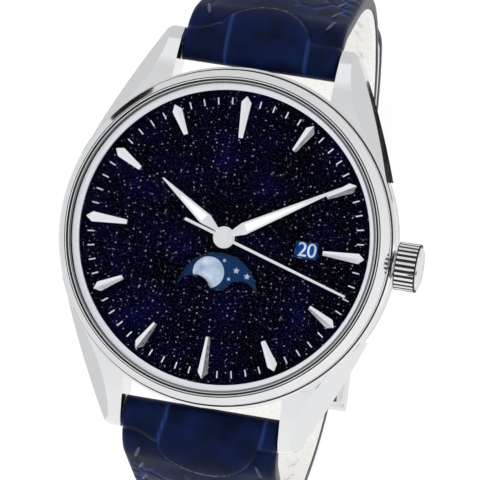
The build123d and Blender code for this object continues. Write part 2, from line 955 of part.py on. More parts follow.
# Going train, between the bridge and the main plate
pivot_top = pocket_top + pivot_length
third_wheel = arbor_part(
    third,
    gears=(
        (third_teeth, third_module, third_direction + 180, third_wheel_z, third_wheel_z + wheel_thickness),
        (third_pinion_teeth, centre_module, meshing(third_direction, third_pinion_teeth), third_pinion_z, third_pinion_top),
    ),
    windows=((5, third_distance / 2, third_distance / 6, third_wheel_z, third_wheel_z + wheel_thickness),),
    rounds=((arbor_radius, third_wheel_z, pocket_top - loose_gap), (pivot_radius, pivot_bottom, pivot_top)),
)
fourth_wheel = arbor_part(
    centre,
    gears=(
        (fourth_teeth, fourth_module, escape_direction, fourth_wheel_z, fourth_pinion_z),
        (fourth_pinion_teeth, third_module, meshing(third_direction + 180, fourth_pinion_teeth), fourth_pinion_z, fourth_pinion_top),
    ),
    windows=((5, third_distance / 2, third_distance / 6, fourth_wheel_z, fourth_pinion_z),),
    rounds=(
        (pivot_radius, pivot_bottom, fourth_wheel_z),
        (fourth_arbor_radius, fourth_pinion_z, seconds_hand_z + seconds_thickness),
    ),
)
centre_wheel = arbor_part(
    centre,
    gears=(
        (centre_teeth, centre_module, third_direction, centre_wheel_z, centre_wheel_z + wheel_thickness),
        (centre_pinion_teeth, barrel_module, meshing(barrel_direction + 180, centre_pinion_teeth), centre_pinion_z, centre_pinion_top),
    ),
    windows=((5, third_distance / 2, third_distance / 6, centre_wheel_z, centre_wheel_z + wheel_thickness),),
    rounds=((centre_tube_radius, centre_wheel_z, date_ring_z),),
    bores=((centre_tube_bore, centre_wheel_z, date_ring_z),),
)
barrel_part = arbor_part(
    barrel,
    gears=((barrel_teeth, barrel_module, barrel_direction + 180, barrel_teeth_z, barrel_teeth_z + barrel_teeth_thickness),),
    rounds=((barrel_drum_radius, barrel_drum_z, barrel_drum_top),),
    bores=(
        (barrel_drum_radius - barrel_wall, barrel_drum_z + barrel_wall / 2, barrel_drum_top - barrel_wall / 2),
        (barrel_arbor_radius + running_gap, barrel_drum_z, barrel_drum_top),
    ),
)
mainspring_margin = barrel_wall / 2 + loose_gap
mainspring = spiral_part(
    barrel,
    mainspring_inner,
    mainspring_turns,
    mainspring_pitch,
    mainspring_strip,
    barrel_drum_z + mainspring_margin,
    barrel_drum_top - barrel_drum_z - 2 * mainspring_margin,
)
barrel_arbor = arbor_part(
    barrel, rounds=((barrel_arbor_radius, winding_z + winding_thickness, pivot_top),)
)
escape_pinion_direction = meshing(escape_direction, escape_pinion_teeth)
tooth_tip_radius = escape_radius
tooth_root_radius = escape_radius - 0.24 * escape_radius
tooth_lean_share = 0.3

with BuildPart() as escape_wheel:
    with BuildSketch(Plane.XY.offset(escape_pinion_z)):
        with BuildLine():
            Polyline(
                *gear_points(escape_pinion_teeth, fourth_module, escape_pinion_direction, escape), close=True
            )
        make_face()
    extrude(amount=escape_pinion_top - escape_pinion_z)
    with BuildSketch(Plane.XY.offset(escape_wheel_z)):
        with BuildLine():
            escape_pitch = 360 / escape_teeth
            points = []
            for tooth in range(escape_teeth):
                points.append(around(escape, tooth_root_radius, escape_pitch * tooth))
                points.append(around(escape, tooth_tip_radius, escape_pitch * (tooth + tooth_lean_share)))
                points.append(
                    around(escape, tooth_root_radius, escape_pitch * (tooth + tooth_lean_share / 2 + 0.25))
                )
            Polyline(*points, close=True)
        make_face()
        with Locations(escape):
            with PolarLocations(tooth_root_radius * 0.58, 4):
                Circle(tooth_root_radius * 0.24, mode=Mode.SUBTRACT)
    extrude(amount=wheel_thickness)
    with BuildSketch(Plane.XY.offset(escape_pinion_z)):
        with Locations(escape):
            Circle(arbor_radius)
    extrude(amount=pocket_top - loose_gap - escape_pinion_z)
    with BuildSketch(Plane.XY.offset(pivot_bottom)):
        with Locations(escape):
            Circle(pivot_radius)
    extrude(amount=pivot_top - pivot_bottom)

with BuildPart() as pallet_fork:
    with BuildSketch(Plane.XY.offset(escape_wheel_z)):
        lever_length = pallet_to_balance - roller_radius - loose_gap
        with Locations(around(pallet, lever_length / 2, balance_direction)):
            Rectangle(lever_length, fork_width, rotation=balance_direction)
        for side in (-1, 1):
            arm_direction = balance_direction + 180 + side * pallet_spread
            with Locations(around(pallet, pallet_reach / 2, arm_direction)):
                Rectangle(pallet_reach, fork_width, rotation=arm_direction)
        with Locations(escape):
            Circle(escape_radius + pallet_clearance, mode=Mode.SUBTRACT)
    extrude(amount=wheel_thickness)
    with BuildSketch(Plane.XY.offset(pallet_bridge_top + running_gap)):
        with Locations(pallet):
            Circle(arbor_radius)
    extrude(amount=pocket_top - loose_gap - pallet_bridge_top - running_gap)
    with BuildSketch(Plane.XY.offset(pallet_bridge_bottom)):
        with Locations(pallet):
            Circle(pivot_radius)
    extrude(amount=pivot_top - pallet_bridge_bottom)

with BuildPart() as pallet_bridge:
    with BuildSketch(Plane.XY.offset(pallet_bridge_bottom)):
        for foot_at in pallet_bridge_feet:
            foot_reach = hypot(foot_at[0] - pallet[0], foot_at[1] - pallet[1])
            foot_turn = degrees(atan2(foot_at[1] - pallet[1], foot_at[0] - pallet[0]))
            with Locations(around(pallet, foot_reach / 2, foot_turn)):
                Rectangle(foot_reach, 2 * pallet_foot_radius, rotation=foot_turn)
        with Locations(pallet, *pallet_bridge_feet):
            Circle(pallet_foot_radius)
        with Locations(pallet):
            Circle(pivot_radius + running_gap, mode=Mode.SUBTRACT)
    extrude(amount=pallet_bridge_top - pallet_bridge_bottom)
    with BuildSketch(Plane.XY.offset(pallet_bridge_top)):
        with Locations(*pallet_bridge_feet):
            Circle(pallet_foot_radius)
    extrude(amount=pocket_top - pallet_bridge_top)

with BuildPart() as balance_wheel:
    with BuildSketch(Plane.XY.offset(balance_z)):
        with Locations(balance):
            Circle(balance_radius)
            Circle(balance_radius - balance_rim, mode=Mode.SUBTRACT)
            for spoke in range(3):
                Rectangle(2 * balance_radius - balance_rim, balance_arm_width, rotation=60 * spoke)
    extrude(amount=balance_rim_height)
    with BuildSketch(Plane.XY.offset(roller_z)):
        with Locations(balance):
            Circle(roller_radius)
    extrude(amount=wheel_thickness)
    with BuildSketch(Plane.XY.offset(hairspring_z + hairspring_height)):
        with Locations(balance):
            Circle(arbor_radius)
    extrude(amount=pocket_top - loose_gap - hairspring_z - hairspring_height)
    with BuildSketch(Plane.XY.offset(pivot_bottom)):
        with Locations(balance):
            Circle(pivot_radius)
    extrude(amount=pivot_top - pivot_bottom)

hairspring = spiral_part(
    balance, hairspring_inner, hairspring_turns, hairspring_pitch, hairspring_strip, hairspring_z, hairspring_height
)
for spring_name, pitch, strip in (
    ("mainspring", mainspring_pitch, mainspring_strip),
    ("hairspring", hairspring_pitch, hairspring_strip),
):
    print(spring_name, "gap between turns", round(pitch - strip, 3))

# Winding work on the bridge and on the stem
ratchet_wheel = arbor_part(
    barrel,
    gears=(
        (ratchet_teeth, winding_module, crown_wheel_direction, winding_z, winding_z + winding_thickness),
    ),
)
crown_wheel = arbor_part(
    crown_wheel_at,
    gears=(
        (
            crown_wheel_teeth,
            winding_module,
            meshing(crown_wheel_direction, crown_wheel_teeth),
            winding_z,
            winding_z + winding_thickness,
        ),
    ),
    rounds=(
        (
            crown_wheel_boss,
            winding_z + winding_thickness,
            stem_height - winding_pinion_module * (winding_pinion_teeth / 2 + tooth_tip_share) - running_gap,
        ),
    ),
)

with BuildPart() as winding_pinion:
    with BuildSketch(Plane.YZ.offset(winding_pinion_x)):
        with BuildLine():
            Polyline(
                *gear_points(winding_pinion_teeth, winding_pinion_module, 0, (0, stem_height)), close=True
            )
        make_face()
        with Locations((0, stem_height)):
            Circle(stem_radius + running_gap, mode=Mode.SUBTRACT)
    extrude(amount=winding_pinion_length)

clutch_wheel = tube_part(clutch_radius, stem_radius + running_gap, clutch_x, clutch_x + clutch_length, stem_height)

# Rotor and the stud that carries it
with BuildPart() as rotor:
    with BuildSketch(Plane.XY.offset(rotor_bottom)):
        Circle(rotor_radius)
        with Locations((0, rotor_radius)):
            Rectangle(2 * rotor_radius, 2 * rotor_radius, mode=Mode.SUBTRACT)
        Circle(rotor_hub_radius)
    extrude(amount=rotor_plate)
    with BuildSketch(Plane.XY.offset(rotor_bottom)):
        Circle(rotor_radius)
        Circle(rotor_rim_inner, mode=Mode.SUBTRACT)
        with Locations((0, rotor_radius)):
            Rectangle(2 * rotor_radius, 2 * rotor_radius, mode=Mode.SUBTRACT)
    extrude(amount=rotor_rim_top - rotor_bottom)
    with BuildSketch(Plane.XY.offset(rotor_bottom)):
        Circle(stud_radius + running_gap)
    extrude(amount=rotor_plate, mode=Mode.SUBTRACT)

rotor_bearing = arbor_part(
    centre,
    rounds=(
        (stud_head_radius, stud_head_bottom, rotor_bottom - running_gap),
        (stud_radius, stud_head_bottom, bridge_bottom),
    ),
)

# Main plate with its pocket, ledge and posts
with BuildPart() as main_plate:
    with BuildSketch(Plane.XY.offset(bridge_top)):
        Circle(movement_radius)
    extrude(amount=plate_top - bridge_top)
    barrel_tip_radius = barrel_module * (barrel_teeth / 2 + tooth_tip_share)
    with BuildSketch(Plane.XY.offset(bridge_top)):
        Circle(pocket_radius)
        with Locations(barrel):
            Circle(barrel_tip_radius + loose_gap)
    extrude(amount=pocket_top - bridge_top, mode=Mode.SUBTRACT)
    with BuildSketch(Plane.XY.offset(plate_top)):
        Circle(movement_radius)
        Circle(ledge_inner, mode=Mode.SUBTRACT)
    extrude(amount=ledge_height)
    for post_at, radius, top in (
        (minute_wheel_at, post_radius, hour_gear_top),
        (idler_at, post_radius, calendar_gear_top),
        (date_drive_at, post_radius, date_ring_top),
        (moon_drive_at, post_radius, moon_disc_top),
        (moon_at, moon_post_radius, moon_disc_top),
    ):
        with BuildSketch(Plane.XY.offset(plate_top)):
            with Locations(post_at):
                Circle(radius)
        extrude(amount=top - plate_top)
    with BuildSketch(Plane.XY.offset(pocket_top)):
        Circle(centre_tube_radius + running_gap)
        with Locations(barrel):
            Circle(barrel_arbor_radius + running_gap)
    extrude(amount=plate_top - pocket_top, mode=Mode.SUBTRACT)
    with BuildSketch(Plane.XY.offset(pocket_top)):
        with Locations(third, escape, pallet, balance):
            Circle(jewel_radius + fit_gap)
    extrude(amount=jewel_height, mode=Mode.SUBTRACT)
    keyless_top = stem_height + winding_pinion_module * (winding_pinion_teeth / 2 + 1) + loose_gap
    with BuildSketch(Plane.XY.offset(bridge_top)):
        with Locations(((stem_inner_end + pocket_radius) / 2, 0)):
            Rectangle(pocket_radius - stem_inner_end + 2 * loose_gap, 2 * (keyless_top - stem_height))
    extrude(amount=keyless_top - bridge_top, mode=Mode.SUBTRACT)
    with BuildSketch(Plane.YZ.offset(pocket_radius - overrun)):
        with Locations((0, stem_height)):
            Circle(stem_radius + loose_gap)
    extrude(amount=movement_radius, mode=Mode.SUBTRACT)
    with BuildSketch(Plane.XY.offset(bridge_top)):
        for direction in bridge_screw_directions + (cock_direction,):
            with Locations(around(centre, screw_circle, direction)):
                Circle(screw_radius + running_gap)
    extrude(amount=screw_length, mode=Mode.SUBTRACT)

balance_opening = balance_radius + balance_rim
hairspring_outer = hairspring_inner + hairspring_turns * hairspring_pitch
cock_screw = around(centre, screw_circle, cock_direction)

with BuildPart() as train_bridge:
    with BuildSketch(Plane.XY.offset(bridge_bottom)):
        Circle(movement_radius - loose_gap)
        with Locations(balance):
            Circle(balance_opening, mode=Mode.SUBTRACT)
        with Locations(around(balance, balance_opening, cock_direction)):
            Rectangle(2 * balance_opening, 2 * balance_opening, rotation=cock_direction, mode=Mode.SUBTRACT)
        with Locations(centre, third, escape):
            Circle(jewel_radius + fit_gap, mode=Mode.SUBTRACT)
        with Locations(barrel):
            Circle(barrel_arbor_radius + running_gap, mode=Mode.SUBTRACT)
        with Locations(crown_wheel_at):
            Circle(crown_wheel_boss + loose_gap, mode=Mode.SUBTRACT)
        for direction in bridge_screw_directions:
            with Locations(around(centre, screw_circle, direction)):
                Circle(screw_radius + running_gap, mode=Mode.SUBTRACT)
    extrude(amount=bridge_top - bridge_bottom)

with BuildPart() as balance_cock:
    with BuildSketch(Plane.XY.offset(bridge_bottom)):
        cock_length = movement_radius - hypot(*balance)
        with Locations(around(balance, cock_length / 2 - loose_gap, cock_direction)):
            Rectangle(cock_length, cock_width, rotation=cock_direction)
        with Locations(balance):
            Circle(cock_width / 2)
        Circle(movement_radius - loose_gap, mode=Mode.INTERSECT)
        with Locations(cock_screw):
            Circle(screw_radius + running_gap, mode=Mode.SUBTRACT)
        with Locations((balance[0] + hairspring_outer / 2, balance[1])):
            Rectangle(hairspring_outer, 2 * stud_arm_half)
        with Locations((balance[0] + hairspring_outer, balance[1])):
            Circle(stud_arm_half)
        with Locations(balance):
            Circle(jewel_radius + fit_gap, mode=Mode.SUBTRACT)
    extrude(amount=bridge_top - bridge_bottom)
    with BuildSketch(Plane.XY.offset(bridge_top)):
        with Locations((balance[0] + hairspring_outer, balance[1])):
            Circle(stud_arm_half / 2)
    extrude(amount=hairspring_z - bridge_top)

with BuildPart() as bridge_screws:
    for direction in bridge_screw_directions + (cock_direction,):
        screw_at = around(centre, screw_circle, direction)
        with BuildSketch(Plane.XY.offset(bridge_bottom - screw_head_height)):
            with Locations(screw_at):
                Circle(screw_head_radius)
        extrude(amount=screw_head_height)
        with BuildSketch(Plane.XY.offset(bridge_bottom)):
            with Locations(screw_at):
                Circle(screw_radius)
        extrude(amount=bridge_top - bridge_bottom + screw_length - loose_gap)
        with BuildSketch(Plane.XY.offset(bridge_bottom - screw_head_height)):
            with Locations(screw_at):
                Rectangle(2 * screw_head_radius, screw_slot, rotation=direction)
        extrude(amount=screw_head_height / 2, mode=Mode.SUBTRACT)

with BuildPart() as jewel_bearings:
    for level, places in (
        (bridge_bottom, (centre, third, escape, balance)),
        (pocket_top, (third, escape, pallet, balance)),
    ):
        with BuildSketch(Plane.XY.offset(level)):
            for place in places:
                with Locations(place):
                    Circle(jewel_radius)
                    Circle(pivot_radius + running_gap, mode=Mode.SUBTRACT)
        extrude(amount=jewel_height)

with BuildPart() as movement_holder:
    with BuildSketch(Plane.XY.offset(holder_bottom)):
        Circle(back_thread_radius)
        Circle(movement_radius + running_gap, mode=Mode.SUBTRACT)
    extrude(amount=dial_bottom - holder_bottom)
    with BuildSketch(Plane.YZ.offset(movement_radius - overrun)):
        with Locations((0, stem_height)):
            Circle(stem_radius + loose_gap)
    extrude(amount=back_thread_radius, mode=Mode.SUBTRACT)

# Motion work and calendar, between the main plate and the dial
cannon_pinion = arbor_part(
    centre,
    gears=(
        (cannon_teeth, cannon_module, minute_wheel_direction, cannon_gear_z, cannon_gear_top),
    ),
    rounds=((cannon_radius, cannon_gear_z, minute_hand_z + hand_thickness),),
    bores=((cannon_bore, cannon_gear_z, minute_hand_z + hand_thickness),),
)
minute_wheel = arbor_part(
    minute_wheel_at,
    gears=(
        (
            minute_wheel_teeth,
            cannon_module,
            meshing(minute_wheel_direction, minute_wheel_teeth),
            cannon_gear_z,
            cannon_gear_top,
        ),
        (minute_pinion_teeth, hour_module, minute_wheel_direction + 180, cannon_gear_top, hour_gear_top),
    ),
    bores=((post_radius + running_gap, cannon_gear_z, hour_gear_top),),
)
hour_wheel = arbor_part(
    centre,
    gears=(
        (
            hour_wheel_teeth,
            hour_module,
            meshing(minute_wheel_direction + 180, hour_wheel_teeth),
            hour_gear_z,
            hour_gear_top,
        ),
        (hour_pinion_teeth, hour_module, idler_direction, hour_gear_top, calendar_gear_top),
    ),
    rounds=((hour_tube_radius, hour_gear_z, hour_hand_z + hand_thickness),),
    bores=((hour_tube_bore, hour_gear_z, hour_hand_z + hand_thickness),),
)
idler_tooth_at = meshing(idler_direction, idler_teeth)
calendar_idler = arbor_part(
    idler_at,
    gears=((idler_teeth, hour_module, idler_tooth_at, calendar_gear_z, calendar_gear_top),),
    bores=((post_radius + running_gap, calendar_gear_z, calendar_gear_top),),
)


def drive_tooth_at(direction):
    """The tooth_at of a drive wheel that meshes with the idler along the direction given."""
    behind = (direction - idler_tooth_at) % (360 / idler_teeth)
    return meshing(direction, drive_teeth) + behind * idler_teeth / drive_teeth


def drive_part(at, direction, finger_direction, reach, finger_bottom, finger_top):
    """A calendar drive wheel with one finger above it."""
    gear = (drive_teeth, hour_module, drive_tooth_at(direction), calendar_gear_z, calendar_gear_top)
    with BuildPart() as piece:
        with BuildSketch(Plane.XY.offset(calendar_gear_z)):
            with BuildLine():
                Polyline(*gear_points(gear[0], gear[1], gear[2], at), close=True)
            make_face()
        extrude(amount=calendar_gear_top - calendar_gear_z)
        with BuildSketch(Plane.XY.offset(calendar_gear_top)):
            with Locations(at):
                Circle(2 * post_radius)
        extrude(amount=finger_top - calendar_gear_top)
        with BuildSketch(Plane.XY.offset(finger_bottom)):
            with Locations(around(at, reach / 2, finger_direction)):
                Rectangle(reach, finger_width, rotation=finger_direction)
        extrude(amount=finger_top - finger_bottom)
        with BuildSketch(Plane.XY.offset(calendar_gear_z)):
            with Locations(at):
                Circle(post_radius + running_gap)
        extrude(amount=finger_top - calendar_gear_z, mode=Mode.SUBTRACT)
    return piece


finger_rest_direction = 0.0
date_drive_wheel = drive_part(
    date_drive_at, date_drive_direction, finger_rest_direction, date_finger_reach, date_ring_z, date_ring_top
)
moon_drive_wheel = drive_part(
    moon_drive_at, moon_drive_direction, finger_rest_direction + 90, moon_finger_reach, moon_disc_z, moon_disc_top
)

with BuildPart() as date_ring:
    with BuildSketch(Plane.XY.offset(date_ring_z)):
        Circle(date_ring_outer)
        with BuildLine():
            date_points = []
            for tooth in range(date_teeth):
                start = 360 / date_teeth * tooth
                date_points.append(around(centre, date_ring_inner, start))
                date_points.append(
                    around(centre, date_ring_inner - date_tooth_height, start + 360 / date_teeth * date_tooth_share)
                )
                date_points.append(
                    around(centre, date_ring_inner, start + 720 / date_teeth * date_tooth_share)
                )
            Polyline(*date_points, close=True)
        make_face(mode=Mode.SUBTRACT)
    extrude(amount=date_ring_top - date_ring_z)

with BuildPart() as moon_disc:
    with BuildSketch(Plane.XY.offset(moon_disc_z)):
        with BuildLine():
            moon_points = []
            for tooth in range(moon_teeth):
                start = 360 / moon_teeth * tooth
                moon_points.append(around(moon_at, moon_disc_radius, start))
                moon_points.append(around(moon_at, moon_disc_radius + moon_tooth_height, start + 180 / moon_teeth))
            Polyline(*moon_points, close=True)
        make_face()
        with Locations(moon_at):
            Circle(moon_post_radius + running_gap, mode=Mode.SUBTRACT)
    extrude(amount=moon_disc_top - moon_disc_z)

with BuildPart() as moon_figures:
    with BuildSketch(Plane.XY.offset(moon_disc_top)):
        for half_turn in (0, 180):
            with Locations(around(moon_at, moon_orbit, moon_bearing + half_turn)):
                Circle(moon_radius)
            for star_x, star_y, star_radius in star_places:
                star_distance = hypot(star_x, star_y)
                star_bearing = degrees(atan2(star_y, star_x)) + half_turn
                star_at = around(moon_at, star_distance, star_bearing)
                with BuildLine():
                    Polyline(
                        *[
                            around(star_at, star_radius * share, 90 + half_turn + 180 / star_points * corner)
                            for corner in range(2 * star_points)
                            for share in ((1, star_waist_share)[corner % 2],)
                        ],
                        close=True,
                    )
                make_face()
    extrude(amount=figure_height)

# Strap
width_half = strap_lug_width / 2
buckle_half = strap_buckle_width / 2
short_side = Plane.YZ
long_side = Plane(origin=(0, 0, 0), x_dir=(0, -1, 0), z_dir=(-1, 0, 0))


def strap_line(start_offset, offset, corner_radius, flat_length, tail):
    """One face of a strap half, in the plane of its side, from the lug bar round to its end."""
    slope = Vector(cos(bend), -sin(bend))
    outward = Vector(sin(bend), cos(bend))
    first = JernArc(
        (spring_bar_from_axis, spring_bar_height + start_offset),
        (1, 0),
        lug_bend_radius + start_offset,
        -lug_bend_angle,
    )
    drop = Line(first @ 1, drop_end + outward * offset)
    side = JernArc(drop @ 1, slope, side_bend_radius + offset, lug_bend_angle - 90)
    corner = JernArc(side @ 1, (0, -1), corner_radius + offset, -90)
    flat = Line(corner @ 1, (corner @ 1) - Vector(flat_length, 0))
    if not tail:
        return flat @ 1
    rise = JernArc(flat @ 1, (-1, 0), corner_radius + offset, -tail)
    return rise @ 1


def strap_part(side_plane, corner_radius, flat_length, tail, eye):
    """A strap half: its side outline drawn across its width, then tapered to the buckle."""
    with BuildPart() as piece:
        with BuildSketch(side_plane):
            with BuildLine():
                outer_end = strap_line(strap_pad, strap_half, corner_radius, flat_length, tail)
                inner_end = strap_line(-strap_half, -strap_half, corner_radius, flat_length, tail)
                Line(outer_end, inner_end)
                Line(
                    (spring_bar_from_axis, spring_bar_height + strap_pad),
                    (spring_bar_from_axis, spring_bar_height - strap_half),
                )
            make_face()
            with Locations((spring_bar_from_axis, spring_bar_height)):
                Circle(strap_end_radius)
                Circle(spring_bar_radius + loose_gap, mode=Mode.SUBTRACT)
            if eye:
                with Locations(((outer_end + inner_end) / 2,)):
                    Circle(buckle_eye_radius)
                    Circle(buckle_bar_radius + loose_gap, mode=Mode.SUBTRACT)
        extrude(amount=width_half, both=True)
        with BuildSketch(Plane.XZ):
            with BuildLine():
                Polyline(
                    (-width_half, spring_bar_height + 2 * strap_end_radius),
                    (width_half, spring_bar_height + 2 * strap_end_radius),
                    (width_half, spring_bar_height),
                    (buckle_half, strap_taper_end),
                    (buckle_half, foot_height),
                    (-buckle_half, foot_height),
                    (-buckle_half, strap_taper_end),
                    (-width_half, spring_bar_height),
                    close=True,
                )
            make_face()
        extrude(amount=2 * case_radius, both=True, mode=Mode.INTERSECT)
    return piece


tang_slot_half = tang_width / 2 + tang_slot_gap
with BuildPart() as strap_short:
    add(strap_part(short_side, short_corner_radius, short_corner_at + buckle_bar_past_middle, 0, True).part)
    with BuildSketch(Plane.XY.offset(short_flat - 2 * buckle_eye_radius)):
        with Locations((0, -buckle_bar_past_middle)):
            Rectangle(2 * tang_slot_half, 2 * (tang_ring_radius + tang_slot_gap))
    extrude(amount=4 * buckle_eye_radius, mode=Mode.SUBTRACT)

long_flat_length = long_corner_at + short_corner_at
with BuildPart() as strap_long:
    add(strap_part(long_side, long_corner_radius, long_flat_length, tail_angle, False).part)
    tip_turn = radians(tail_angle)
    tip_centre = Vector(
        0,
        short_corner_at + long_corner_radius * sin(tip_turn),
        corner_height - long_corner_radius * cos(tip_turn),
    )
    tail_corners = strap_long.edges().filter_by(lambda e: abs(e.center().X) > buckle_half / 2)
    fillet(tail_corners.sort_by_distance(tip_centre)[:2], buckle_half * tail_tip_share)
    slot_middle = -buckle_bar_past_middle - (tang_slot_start + tang_slot_end) / 2
    with BuildSketch(Plane.XY.offset(foot_height)):
        with Locations((0, slot_middle)):
            Rectangle(2 * tang_slot_half, tang_slot_end - tang_slot_start)
    extrude(amount=short_flat - strap_half - foot_height, mode=Mode.SUBTRACT)
    for step in range(1, tang_hole_count + 1):
        along = slot_middle + tang_hole_pitch * step
        hole_turn = max(along - short_corner_at, 0) / long_corner_radius
        hole_at = (0, min(along, short_corner_at), corner_height)
        radial = (0, sin(hole_turn), -cos(hole_turn))
        with BuildSketch(Plane(origin=hole_at, x_dir=(1, 0, 0), z_dir=radial)):
            Circle(tang_hole_radius)
        extrude(amount=long_corner_radius + strap_thickness, mode=Mode.SUBTRACT)


def spring_bar_part(body_radius, body_half, tip_half, at):
    """A spring bar across the strap: a thick body and two thin tips."""
    with BuildPart() as piece:
        for radius, half in ((body_radius, body_half), (spring_bar_tip_radius, tip_half)):
            with BuildSketch(Plane.YZ):
                with Locations(at):
                    Circle(radius)
            extrude(amount=half, both=True)
    return piece


lug_bar_half = lug_gap / 2 - loose_gap
lug_tip_half = lug_gap / 2 + spring_bar_tip_length
with BuildPart() as lug_spring_bars:
    for side in (-1, 1):
        bar_at = (side * spring_bar_from_axis, spring_bar_height)
        add(spring_bar_part(spring_bar_radius, lug_bar_half, lug_tip_half, bar_at).part)
buckle_inner_half = keeper_half + keeper_gap
buckle_outer_half = buckle_inner_half + buckle_arm
buckle_bar_at = (-buckle_bar_past_middle, short_flat)
buckle_spring_bar = spring_bar_part(
    buckle_bar_radius, buckle_inner_half - loose_gap, buckle_outer_half - loose_gap, buckle_bar_at
)

front_bar_at = (-front_bar_from_middle, foot_height + front_bar_height / 2)
tang_rest = foot_height + tang_thickness / 2
with BuildPart() as buckle_frame:
    arm_middle = (
        (buckle_bar_at[0] + front_bar_at[0]) / 2,
        (buckle_bar_at[1] + front_bar_at[1]) / 2,
    )
    arm_slope = degrees(atan2(front_bar_at[1] - buckle_bar_at[1], front_bar_at[0] - buckle_bar_at[0]))
    arm_length = hypot(front_bar_at[1] - buckle_bar_at[1], front_bar_at[0] - buckle_bar_at[0])
    with BuildSketch(Plane.YZ):
        with Locations(arm_middle):
            SlotCenterToCenter(arm_length, min(buckle_arm_height, front_bar_height), rotation=arm_slope)
    extrude(amount=buckle_outer_half, both=True)
    with BuildSketch(Plane.YZ):
        with Locations(arm_middle):
            Rectangle(4 * arm_length, 4 * arm_length)
    extrude(amount=buckle_inner_half, both=True, mode=Mode.SUBTRACT)
    with BuildSketch(Plane.YZ):
        with Locations(front_bar_at):
            RectangleRounded(front_bar_width, front_bar_height, front_bar_height / 5)
    extrude(amount=buckle_outer_half, both=True)
    with BuildSketch(Plane.YZ):
        with Locations(buckle_bar_at):
            Circle(spring_bar_tip_radius + running_gap)
    extrude(amount=buckle_outer_half, both=True, mode=Mode.SUBTRACT)
    with BuildSketch(Plane.XY.offset(foot_height - overrun)):
        with Locations((0, front_bar_at[0])):
            Rectangle(tang_width + 2 * loose_gap, 2 * front_bar_width)
    extrude(amount=overrun + tang_thickness + loose_gap, mode=Mode.SUBTRACT)

with BuildPart() as buckle_tang:
    with BuildSketch(Plane.YZ) as tang_side:
        with BuildLine() as tang_line:
            Polyline(
                buckle_bar_at,
                (buckle_bar_at[0] - tang_knee_from_bar, buckle_bar_at[1] - tang_knee_drop),
                (buckle_bar_at[0] - tang_bend_from_bar, tang_rest),
                (front_bar_at[0] - front_bar_width / 2, tang_rest),
            )
        trace(tang_line.line, tang_thickness)
        with Locations(buckle_bar_at):
            Circle(tang_ring_radius)
            Circle(buckle_bar_radius + running_gap, mode=Mode.SUBTRACT)
    extrude(amount=tang_width / 2, both=True)

keeper_outer_half = keeper_half + keeper_wall
keeper_bottom_inner = foot_height + keeper_wall
with BuildPart() as fixed_keeper:
    with BuildSketch(Plane.XZ.offset(-fixed_keeper_from_middle - keeper_width / 2)):
        with BuildLine():
            Polyline(
                (-keeper_outer_half, foot_height),
                (keeper_outer_half, foot_height),
                (keeper_outer_half, keeper_top + keeper_wall),
                (-keeper_outer_half, keeper_top + keeper_wall),
                close=True,
            )
        make_face()
        with BuildLine():
            Polyline(
                (-keeper_half, keeper_bottom_inner),
                (keeper_half, keeper_bottom_inner),
                (keeper_half, keeper_top),
                (-keeper_half, keeper_top),
                close=True,
            )
        make_face(mode=Mode.SUBTRACT)
    extrude(amount=keeper_width)

keeper_arc = degrees(keeper_width / long_corner_radius)
keeper_start = radians(free_keeper_angle - keeper_arc / 2)
keeper_hub = (0, short_corner_at, corner_height)
keeper_plane = Plane(origin=keeper_hub, x_dir=(1, 0, 0), z_dir=(0, cos(keeper_start), sin(keeper_start)))
with BuildPart() as free_keeper:
    with BuildSketch(keeper_plane):
        with BuildLine():
            inner_edge = corner_height - keeper_top
            outer_edge = corner_height - keeper_bottom_inner
            Polyline(
                (-keeper_outer_half, inner_edge - keeper_wall),
                (keeper_outer_half, inner_edge - keeper_wall),
                (keeper_outer_half, outer_edge + keeper_wall),
                (-keeper_outer_half, outer_edge + keeper_wall),
                close=True,
            )
        make_face()
        with BuildLine():
            Polyline(
                (-keeper_half, inner_edge),
                (keeper_half, inner_edge),
                (keeper_half, outer_edge),
                (-keeper_half, outer_edge),
                close=True,
            )
        make_face(mode=Mode.SUBTRACT)
    revolve(axis=Axis(keeper_hub, (1, 0, 0)), revolution_arc=keeper_arc)

